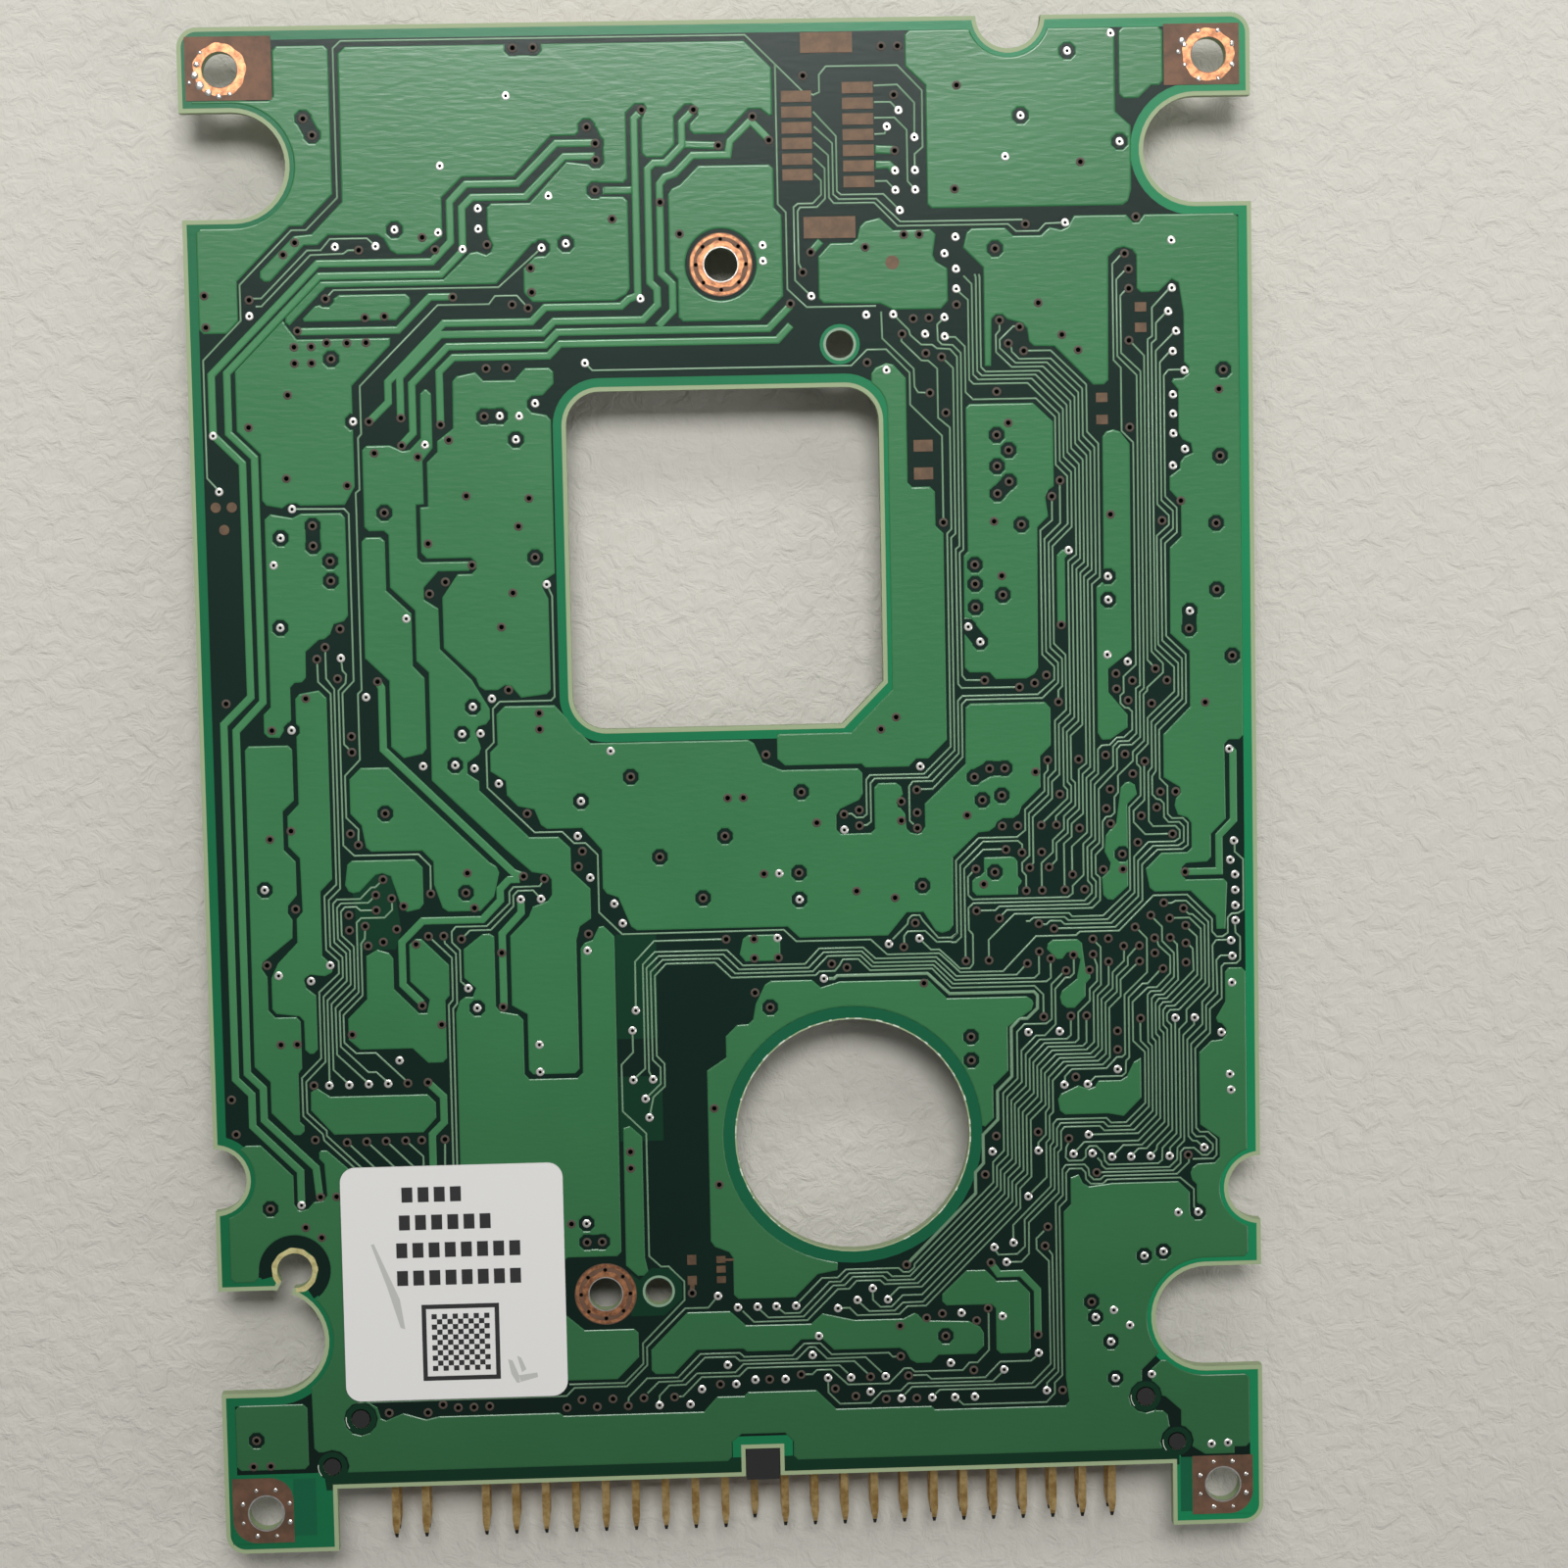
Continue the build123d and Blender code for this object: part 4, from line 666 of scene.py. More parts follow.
TARNISHED_LOWER = [
    (-20.05, -9.0), (-19.05, -9.0), (-17.9, -9.23),
    (-9.6, -9.1), (20, -9.15), (-23, -9.3), (-20.87, -9.5), (21, -9.5), (29.7, -9.5), (-24, -9.53),
    (26.35, -9.53), (-0.6, -9.67), (1.23, -9.7), (-15.3, -10.2), (23.55, -10.25), (24.57, -10.25),
    (27.64, -10.28), (28.67, -10.28), (11.07, -10.47), (-30.6, -10.65), (29.7, -10.67), (25.58, -10.77),
    (26.62, -10.77), (1.23, -10.97), (2.8, -10.97), (20, -11), (22.25, -11.27), (23.55, -11.27),
    (27.64, -11.28), (6.3, -11.47), (20.75, -11.48), (15.15, -11.5), (16.67, -11.5), (7.3, -11.73),
    (19.2, -11.77), (24.57, -11.78), (26.62, -11.8), (29.7, -11.95), (21.75, -12.3), (23.3, -12.3),
    (28.17, -12.33), (12.35, -12.9), (1.22, -13.25), (-20.58, -13.55), (-15.3, -13.77), (2.2, -14.25),
    (-19.35, -14.83), (20.23, -15.33), (22.03, -15.33), (23.07, -15.33), (-25.2, -15.35),
    (26.64, -15.6), (-29.87, -15.9), (-28.8, -15.9), (25.1, -16.4), (15.4, -16.55), (25.1, -17.64),
    (15.4, -18.1), (-20.35, -18.63), (-27.8, -18.65), (-21.67, -18.65), (22.3, -19.4), (-33.2, -19.45),
    (-1.62, -20.85), (-32.97, -21.75), (-27.82, -22.25), (-19.35, -22.43), (-24.47, -22.45),
    (-23.2, -22.45), (-21.92, -22.45), (-20.87, -22.45), (-25.75, -22.47), (19.75, -23), (16.97, -23.2),
    (21.78, -23.5), (-7.2, -23.6), (-7.2, -24.7), (29.7, -24.8), (16.2, -25.75), (23.6, -25.82),
    (-1.4, -25.95), (-27.6, -26.05), (-26.55, -26.05), (-30.9, -26.75), (-28.63, -28.05),
    (-11.2, -28.3), (-27.6, -28.75), (20.3, -29.37), (-10.2, -29.55), (-9.2, -29.55), (20.1, -30.65),
    (10.88, -31.65), (16.48, -31.67), (-3.35, -33.15), (23.15, -34.5), (16.25, -34.73), (13.2, -35),
    (12.15, -35.27), (15.47, -35.54), (10.38, -35.75), (13.4, -36.52), (19.55, -36.6), (10.38, -37.8),
    (3.75, -38.83), (15.23, -38.87), (1.65, -39.1), (8.35, -39.12), (10.88, -39.12), (-1.62, -39.33),
    (6, -39.85), (-10.8, -40.1), (-8.75, -40.1), (-6.7, -40.1), (-4.67, -40.1), (-19.97, -40.15),
    (-16.9, -40.35), (-18.97, -40.38), (-17.93, -40.38), (7.35, -40.4), (21.13, -40.4), (-23.53, -40.6),
    (-11.8, -40.6), (-9.8, -40.6), (-7.75, -40.6), (-20.97, -40.65), (9.37, -40.65), (11.4, -40.65),
    (-32.3, -42.2), (-32.55, -43.95), (-31.42, -43.95),
]
CLEARED = [
    (-16.75, 5.95), (-17.5, 4.2), (-18, 2.17), (-17, -13.8), (30.15, 10.05), (32.97, 8.22),
    (-13.06, 48.2), (-11.76, 48.2), (22.64, 47.47), (-26.58, 43.92), (19.56, 43.4), (-8.45, 43.09),
    (-26.03, 42.86), (-7.91, 42.06), (25.97, 41.64), (-7.91, 41), (-8, 39.08), (-20.94, 36.77),
    (-9.96, 35.7), (-11.53, 35.45), (17.78, 34.91), (-25.49, 32.45), (-25.25, 28.6),
    (32.57, 26.85), (-14.5, 24.73), (-15.5, 24.72), (-23.95, 24.55), (-13.5, 23.2), (17.7, 22.9),
    (18.47, 21.9), (32.3, 21.27), (17.7, 20.87), (18.47, 19.86), (17.7, 19.1), (-22.12, 18.65),
    (-26.77, 17.9), (-28.85, 17.15), (19.23, 17.06), (32, 16.9), (-26.77, 16.6), (-25.7, 15.6),
    (-12.45, 15.57), (16.15, 14.5), (-25.7, 14.33), (24.85, 13.57), (16.15, 13.25), (32, 12.57),
    (17.95, 12.5), (24.85, 12.04), (16.15, 11.73), (-29.05, 11.35), (30.2, 11.2), (15.65, 10.47),
    (16.42, 9.47), (-28.53, 4.68), (-6.6, 1.15), (16.9, 1.15), (17.9, 1.15), (15.9, 0.62), (4.52, -0.1),
    (-9.88, -0.37), (17.68, -0.63), (-22.63, -0.88), (16.4, -0.9), (-0.53, -2.88), (-4.82, -4.15),
    (25.57, -4.68), (4.27, -5.4), (17.15, -5.67), (-30.6, -5.7), (-17.53, -6.2), (12.37, -6.45),
    (-2.05, -6.92), (4.27, -7.17), (2.2, -14.25), (15.4, -16.55), (15.4, -18.1), (-30.9, -26.75),
    (-10.2, -28.3), (30.33, -28.65), (-10.2, -29.55), (-9.2, -29.55), (27.98, -31.25), (26.7, -31.5),
    (23.15, -34.5), (23.4, -35.55), (13.4, -36.52), (24.4, -37.23), (24.68, -39.7), (-32.3, -42.2),
]
# pairs of cleared holes that share one clearance
SHARED_CLEARANCES = [
    (-26.58, 43.92, -26.03, 42.86), (-13.06, 48.2, -11.76, 48.2), (-8.45, 43.09, -7.91, 42.06),
    (-7.91, 42.06, -7.91, 41.0), (-26.77, 17.9, -26.77, 16.6), (18.47, 19.86, 17.7, 19.1),
    (15.65, 10.47, 16.42, 9.47), (15.9, 0.62, 16.9, 1.15), (16.9, 1.15, 17.9, 1.15),
    (-10.2, -29.55, -9.2, -29.55), (30.2, 11.2, 30.15, 10.05), (-15.5, 24.72, -14.5, 24.73),
]
print("cleared holes:", len(CLEARED), "and", len(SHARED_CLEARANCES), "pairs")

# %% Plated holes
VIA_SIDES = 14
BEVEL_MM = 0.07
BORE_WALL_MM = 0.005
HOLE_BASE_MM = 0.052


def one_hole(rise, rim, bore):
    """A plated hole's rim: a flat ring that rises a little to its bore, and a black disc of painted shade as
    the bore.
    """
    bm = bmesh.new()
    bmesh.ops.create_circle(bm, cap_ends=True, segments=VIA_SIDES, radius=rim * MM)
    face = bm.faces[:]
    bmesh.ops.inset_region(
        bm, faces=face, thickness=BEVEL_MM * MM, depth=rise * MM, use_even_offset=True, use_boundary=True
    )
    bmesh.ops.inset_region(
        bm, faces=face, thickness=(rim - bore - BEVEL_MM) * MM, depth=0, use_even_offset=True
    )
    bmesh.ops.inset_region(
        bm, faces=face, thickness=BORE_WALL_MM * MM, depth=-rise * MM, use_even_offset=True
    )
    # the bore is a black disc of painted shade
    face[0].material_index = 1
    return mesh_of("hole", bm)


def plated_holes(name, places, sizes, material):
    """One piece with a plated hole at each place."""
    single = one_hole(*sizes)
    bm = bmesh.new()
    for x, y in places:
        bm.from_mesh(single)
        fresh = bm.verts[-len(single.vertices):]
        bmesh.ops.translate(bm, verts=fresh, vec=(x * MM, y * MM, TOP + HOLE_BASE_MM * MM))
    piece = settle(name, mesh_of(name, bm), material)
    piece.data.materials.append(painted_hole_shade)
    return piece


# rise of the rim over the board, radius of the rim and radius of the bore
TINNED_MM = (0.03, 0.275, 0.115)
TARNISHED_MM = (0.012, 0.3, 0.165)
TINNED = TINNED_UPPER + TINNED_MIDDLE + TINNED_LOWER
TARNISHED = TARNISHED_UPPER + TARNISHED_MIDDLE + TARNISHED_LOWER
tinned = plated_holes("tinned_holes", TINNED, TINNED_MM, via_tin)
tarnished = plated_holes("tarnished_holes", TARNISHED, TARNISHED_MM, via_copper)
print("holes:", len(TINNED), "tinned and", len(TARNISHED), "tarnished,",
      len(tinned.data.polygons) + len(tarnished.data.polygons), "faces")

# %% [markdown]
# ## Masked copper
# The pours and the wide tracks take the CAD outlines. A clearance octagon that lies inside a pour joins
# its outlines as a hole, so its rim gets the same soft shoulder.

# %% Pours and wide tracks
SHOULDER_MM = ((0.0, 0.0), (0.03, 0.028), (0.075, 0.044), (0.12, 0.05))
CLEARANCE_MM = 0.5
CORNER_CUT_MM = 0.28
SQUARE_TURN = radians(60)
# a corner is cut if its sides are at least this many cuts long
SHORTEST_SIDE = 2.2
# half the width of a bar between two holes, as a part of their clearance
SHARED_PART = 0.92


def softened(loop):
    """The outline with its square corners cut across, as plotted copper has them."""
    made = []
    for before, here, after in zip(loop[-1:] + loop[:-1], loop, loop[1:] + loop[:1]):
        a, b, c = Vector(before), Vector(here), Vector(after)
        square = (b - a).angle(c - b, 0.0) > SQUARE_TURN
        if not square or min((a - b).length, (c - b).length) < SHORTEST_SIDE * CORNER_CUT_MM:
            made.append(here)
        else:
            made += [tuple(b + (end - b).normalized() * CORNER_CUT_MM) for end in (a, c)]
    return made


def clearance_outlines():
    """An octagon round each cleared hole, and a bar between two that share one clearance."""
    found = [octagon(x, y, CLEARANCE_MM) for x, y in CLEARED]
    for x0, y0, x1, y1 in SHARED_CLEARANCES:
        along = Vector((x1 - x0, y1 - y0)).normalized() * CLEARANCE_MM * SHARED_PART
        across = (-along.y, along.x)
        found.append([
            (x + sign * across[0], y + sign * across[1])
            for x, y, sign in ((x0, y0, 1), (x0, y0, -1), (x1, y1, -1), (x1, y1, 1))
        ])
    return found


cutters = clearance_outlines()
for name in ("motor_driver_copper", "logic_copper", "signal_copper", "ground_frame_copper", "power_tracks"):
    outlines = flat_loops(nodes[name])
    if name == "power_tracks":
        outlines, mask = cut_out(outlines, []), masked_wide
    else:
        outlines, mask = cut_out([softened(loop) for loop in outlines], cutters), masked_copper
    plate = soft_plate(name + "_masked", outlines, SHOULDER_MM, TOP)
    settle(name + "_masked", plate, mask, name)
print("clearances cut:", len(cutters))

# %% Small pours and wide stubs
CONTROLLER_POUR = [
    (16.43, -4.68), (18.2, -4.65), (18.45, -4.72), (18.66, -4.98), (18.67, -5.95), (18.92, -6.27),
    (18.87, -6.46), (18.67, -6.7), (18.66, -7.2), (15.92, -7.2), (15.64, -6.9), (15.64, -6.22),
    (15.87, -5.98), (16.18, -5.88), (16.43, -5.65),
]
MEMORY_FINGER = [
    (21.5, 10.5), (22.05, 10.5), (22.05, 14.8), (22.35, 15.12), (22.25, 15.45), (21.85, 15.38), (21.5, 15.02),
]
WIDE_STUBS = [
    (0.55, [(10.1, 41.4), (11.38, 41.33)]), (0.55, [(10.1, 40.4), (11.0, 40.4), (11.38, 40.0)]),
    (0.5, [(6.5, 35.6), (5.83, 34.88)]), (0.5, [(-8.0, 39.05), (-5.6, 39.05)]),
    (0.5, [(-2.2, 41.9), (0.0, 41.8)]),
]


def ribbon(points, width):
    """The outline of a straight-sided track."""
    places = [Vector(point) for point in points]
    sides = []
    for k, place in enumerate(places):
        ahead = places[min(k + 1, len(places) - 1)] - place
        behind = place - places[max(k - 1, 0)]
        along = (ahead.normalized() + behind.normalized()).normalized()
        sides.append(Vector((-along.y, along.x)) * width / 2)
    left = [tuple(place + side) for place, side in zip(places, sides)]
    right = [tuple(place - side) for place, side in zip(places, sides)]
    return left[::-1] + right


STUB_OUTLINES = [ribbon(points, width) for width, points in WIDE_STUBS]
for name, outlines in (("small_pours", [CONTROLLER_POUR, MEMORY_FINGER]), ("wide_stubs", STUB_OUTLINES)):
    plate = soft_plate(name, cut_out(outlines, cutters), SHOULDER_MM, TOP)
    settle(name, plate, masked_copper)
print("stubs:", len(STUB_OUTLINES))

# %% [markdown]
# ## Fine tracks
# Signal tracks are about 0.15 mm wide. Each is drawn as a straight-sided curve with a round section,
# and the whole set is squashed flat, so every track keeps a soft top that catches the light. Their pale
# green is partly the mask over copper and partly a painted highlight of those tops.

# %% Routes of the fine tracks, in mm
TRACK_SECTION_MM = 0.07
WIDE_SECTION_MM = 0.125
TRACK_RISE_MM = 0.03
# left half, and the runs round the window
FINE_ROUTES = [
    [(6.15, 44.95), (5.55, 45.1), (3.76, 46.9), (1.85, 48.8), (-24.05, 48.8), (-24.55, 48.35),
     (-24.55, 38.88), (-26.6, 36.85), (-27.55, 36.85), (-30.96, 33.44), (-30.96, 31.15),
     (-33.45, 28.65), (-33.45, 21.1), (-32.75, 20.3)],
    [(3.76, 46.9), (3.76, 38), (4.27, 37.47), (4.27, 32.55), (5.5, 31.36), (10, 31.36)],
    [(-30.17, 32.54), (-29.6, 32.54), (-26.58, 35.55), (-25.7, 35.55), (-25.1, 36.26),
     (-22.73, 36.26), (-22.18, 35.74)],
    [(-29.97, 32.03), (-29.6, 32.03), (-26.38, 35.25), (-24.27, 35.3), (-23.95, 35.52),
     (-23.27, 35.51)],
    [(-25.49, 32.45), (-24.97, 32.99), (-14.35, 32.99), (-11.53, 35.45)],
    [(-12.49, 31.62), (-13.2, 32.44), (-14.6, 32.44), (-15, 31.92), (-18.3, 31.92),
     (-23.46, 26.83), (-23.46, 23.75), (-23.67, 23.5), (-23.67, 20.17), (-23.92, 19.97),
     (-23.92, 7.2), (-24.17, 6.96), (-24.17, 2.67), (-25.17, 1.64), (-25.17, -1.1),
     (-24.4, -1.88), (-24.43, -2.9)],
    [(-28.05, 19), (-24.7, 18.95), (-24.42, 18.63), (-24.42, 7.8), (-25.17, 7.03), (-25.17, 3.7),
     (-24.67, 3.17)],
    [(-26.2, 10.03), (-26.2, 8), (-25.7, 7.3), (-25.7, -5.73), (-26.47, -6.47), (-26.47, -9.5),
     (-25.7, -10.22), (-25.7, -11.55), (-27.0, -12.8), (-27.0, -17.1), (-28.3, -18.4),
     (-28.3, -20.45), (-27.07, -21.66), (-27.07, -22.0), (-24.6, -24.45)],
    [(-26.75, 9.27), (-26.73, 7.8), (-25.94, 7), (-25.94, -5.45), (-26.74, -6.2), (-26.74, -9.72),
     (-25.95, -10.48), (-25.95, -11.3), (-27.27, -12.5), (-27.27, -16.85), (-28.57, -18.13),
     (-28.57, -20.65), (-27.33, -21.88), (-27.25, -22.3), (-25.1, -24.4)],
    [(-25.2, 9.3), (-25.13, 8.5), (-24.9, 8.24), (-24.95, 7.67), (-25.42, 7.2), (-25.42, -2.9),
     (-24.72, -3.6), (-20.55, -3.6), (-19.8, -4.38), (-19.82, -6.2)],
    [(-22.9, -5.2), (-23.42, -5.7), (-23.68, -5.7), (-24.42, -6.44), (-25.93, -6.44),
     (-26.2, -6.72), (-26.2, -9.25), (-25.45, -9.97), (-25.45, -11.8), (-26.75, -13.05),
     (-26.78, -18.4)],
    [(-23.4, -6.2), (-23.9, -6.7), (-25.68, -6.7), (-25.95, -6.98), (-25.95, -9.03), (-25.2, -9.8),
     (-25.2, -12.04), (-26.5, -13.3), (-26.5, -17.65), (-25.65, -18.5)],
    [(-23.4, -7.2), (-24.42, -7.2), (-24.7, -6.95), (-25.43, -6.95), (-25.7, -7.23), (-25.7, -8.8),
     (-24.94, -9.55), (-24.94, -12.3), (-26.24, -13.55), (-26.24, -16.65), (-24.35, -18.5)],
    [(-22.37, -6.45), (-22.36, -7.2), (-22.87, -7.7), (-24.4, -7.7), (-24.7, -7.98), (-24.7, -12.56),
     (-25.98, -13.8), (-25.98, -16.13), (-24.22, -17.87), (-23.7, -17.87), (-23.1, -18.45)],
    [(-24.15, -8.23), (-24.2, -9.05), (-24.45, -9.37), (-24.45, -12.78), (-25.74, -14.05),
     (-25.74, -15.87), (-24.98, -16.6), (-23.7, -16.6), (-21.82, -18.45)],
    [(-25.75, -22.47), (-23.75, -24.45)],
    [(-24.47, -22.45), (-22.5, -24.4)],
    [(-23.2, -22.45), (-21.25, -24.4)],
    [(-21.92, -22.45), (-20.8, -23.53), (-20.8, -24.4)],
    [(-19.35, -22.43), (-19.4, -24.4)],
    [(-20.05, -9.0), (-18.57, -10.45), (-18.57, -13.22), (-18.85, -13.55), (-18.85, -24.4)],
    [(-19.05, -9.0), (-19.0, -9.48), (-18.3, -10.18), (-18.3, -13.47), (-18.57, -13.8),
     (-18.6, -24.4)],
    [(-8.92, 28.03), (-8.45, 27.55), (8.33, 27.55), (9.36, 28.56), (10.6, 28.56), (12.1, 27.03),
     (12.1, 24.97), (14.14, 22.92), (14.14, 17.3)],
    [(-11.75, 13.8), (-11.42, 13.05), (-11.42, 6.5), (-11.65, 6.25), (-15, 6.25), (-15.45, 5.8),
     (-15.45, 3.6), (-15.95, 3.1), (-15.95, 0.65), (-12.95, -2.35), (-11.15, -2.35),
     (-10.4, -3.12), (-9.65, -3.12), (-8.88, -3.9), (-8.88, -7.7), (-7.4, -9.18), (3.2, -9.15),
     (4, -9.93), (8.9, -9.93), (9.97, -10.95), (13.4, -10.95), (14.2, -11.7)],
    [(-17.9, -9.23), (-17.34, -8.68), (-15.97, -8.68), (-14.45, -7.15), (-14.45, -6.45),
     (-14.15, -6.15), (-13.15, -6.15), (-12.65, -6.72)],
    [(-17.55, -12.48), (-18.03, -12.02), (-18.03, -9.96), (-18.53, -9.44), (-18.53, -8.73),
     (-18.25, -8.42), (-16.22, -8.42), (-14.7, -6.95), (-14.7, -6.2), (-14.42, -5.9),
     (-12.7, -5.88), (-12.4, -5.4)],
    [(-0.6, -9.67), (-5.33, -9.68), (-6.6, -11), (-6.63, -14.23)],
    [(-6.9, -18.83), (-6.1, -18.1), (-6.1, -11.2), (-5.3, -10.4), (-0.56, -10.4), (0.46, -11.44),
     (4.55, -11.44), (5.5, -10.44), (8.38, -10.44), (9.2, -11.2), (13.2, -11.2), (14.5, -12.5),
     (18.5, -12.5), (19.1, -11.85)],
    [(-5.6, -18.83), (-5.86, -18.3), (-5.86, -11.44), (-5.05, -10.68), (-0.8, -10.68),
     (0.2, -11.7), (4.78, -11.7), (5.78, -10.7), (8.3, -10.7), (9.07, -11.47), (13.1, -11.47),
     (14.4, -12.75), (19.65, -12.75), (19.97, -12.45), (19.97, -11.2)],
    [(-6.13, -20.1), (-5.1, -19.13), (-5.1, -18.04), (-5.6, -17.53), (-5.6, -11.7),
     (-4.8, -10.94), (-1.1, -10.94), (-0.05, -11.96), (5.05, -11.95), (6.05, -10.95),
     (8.2, -10.95), (8.95, -11.72), (13, -11.72), (14.25, -13), (20.45, -13), (20.75, -12.75),
     (20.73, -11.6)],
    [(-5.9, -21.35), (-5.6, -20), (-4.83, -19.3), (-4.83, -17.8), (-5.33, -17.27),
     (-5.33, -11.97), (-4.58, -11.2), (-1.36, -11.2), (-0.3, -12.23), (5.25, -12.2),
     (5.5, -11.95), (6.5, -11.95), (6.8, -11.6), (7.05, -11.2), (8.05, -11.2), (8.82, -11.97),
     (12.9, -11.95), (14.15, -13.27), (19.65, -13.27), (20.22, -13.85), (20.22, -15.15)],
    [(-6.88, -15.55), (-6.87, -17), (-7.65, -17.8), (-7.65, -20.9), (-6.14, -22.4),
     (-6.14, -30.6), (-5.37, -31.33), (-4.86, -31.33), (-3.86, -32.36), (-3.86, -33.6),
     (-6.68, -36.44), (-6.68, -37.8), (-7.94, -39.06), (-11.6, -39.06)],
    [(-1.65, -33.4), (-2.3, -34.17), (-3.83, -34.17), (-6.42, -36.7), (-6.42, -37.9),
     (-7.8, -39.3), (-11.27, -39.3), (-11.8, -39.83), (-26, -39.85)],
    [(6.15, 44.9), (6.58, 45.1), (6.58, 46.2), (7.03, 46.73), (11.64, 46.73), (13.2, 45.1),
     (13.2, 41.5), (12.67, 41.06), (12.67, 40.01)],
    [(6.15, 43.85), (7.6, 42.28), (7.6, 38.76), (7.85, 38.53), (10.6, 38.53), (11.64, 37.47)],
    [(6.2, 42.9), (7.35, 41.83), (7.35, 38.56), (7.7, 38.24), (10.13, 38.24), (11.67, 36.74),
     (19.6, 36.74)],
    [(6.15, 41.9), (7.08, 41.06), (7.08, 38.37), (7.37, 37.99), (10, 37.99), (11.47, 36.47),
     (18.65, 36.47), (19.17, 36), (20.63, 36), (21.08, 36.47), (22.36, 36.5)],
    [(6.15, 40.9), (6.83, 40.23), (6.83, 38.3), (6.3, 37.76), (5.2, 37.76), (5.04, 37.54),
     (5.04, 34.2), (5.29, 33.6)],
    [(6.15, 39.9), (6.58, 39.46), (6.58, 38.56), (6.03, 38), (5.06, 38), (4.78, 37.8),
     (4.78, 33.1), (5.81, 32.06)],
    [(10.1, 45.45), (11.6, 45.5), (12.7, 44.33), (12.67, 42.12)],
    [(10.1, 44.4), (11.15, 44.4), (11.67, 43.86)],
    [(10.1, 43.4), (11.4, 43.4), (12.18, 42.6), (12.18, 39.33), (12.67, 38.76)],
    [(10.1, 42.35), (10.77, 42.4), (10.9, 42.83)],
    [(10.1, 39.35), (10.83, 39.36), (11.38, 38.76)],
    [(10.32, 31), (10.36, 29.27), (12.37, 27.28), (12.4, 26.13), (12.63, 25.74), (13.4, 25.7)],
    [(11.1, 30.8), (12.1, 29.78), (12.18, 29.46), (12.88, 28.82), (13.6, 28.8), (13.9, 28.56),
     (14.75, 28.5), (15.2, 28), (15.17, 15.75), (14.92, 15.55), (14.93, 6.75), (15.15, 6.47),
     (18.95, 6.45)],
    [(11.65, 29.53), (11.6, 29.08), (12.88, 27.8), (13.33, 27.77), (13.9, 27.26), (13.9, 24.08),
     (14.66, 23.44), (14.66, 16.85), (14.38, 16.58), (14.38, 2.65), (12.6, 0.9), (9.05, 0.9),
     (8.8, 0.62), (8.8, -1.65), (8.55, -1.87), (8.1, -1.87), (7.8, -1.6), (7.4, -1.62)],
    [(14.2, 28), (14.93, 27.28), (14.92, 16.55), (14.63, 16.3), (14.63, 2.4), (12.85, 0.65),
     (9.35, 0.67), (9.07, 0.38), (9.07, -2.15), (8.8, -2.37), (8.45, -2.4)],
    [(14.42, 30.55), (13.95, 30.1), (13.97, 29.08), (14.23, 28.8), (14.93, 28.76), (15.45, 28.24),
     (15.42, 15.5), (15.17, 15.3), (15.2, 7.3), (15.45, 6.98), (16.67, 6.95)],
    [(12.3, -10.15), (12.85, -10.7), (13.4, -10.7), (14.2, -11.45)],
    [(10.35, -9.95), (11.35, -8.95), (11.4, -8.65), (11.65, -8.4), (12.15, -8.4), (12.35, -8.75),
     (13.35, -9.93), (14.2, -9.93), (14.6, -9.65)],
    [(11.1, -10.2), (11.1, -9.75), (11.35, -9.45), (12.5, -9.45), (13.25, -10.2), (14.2, -10.2)],
]

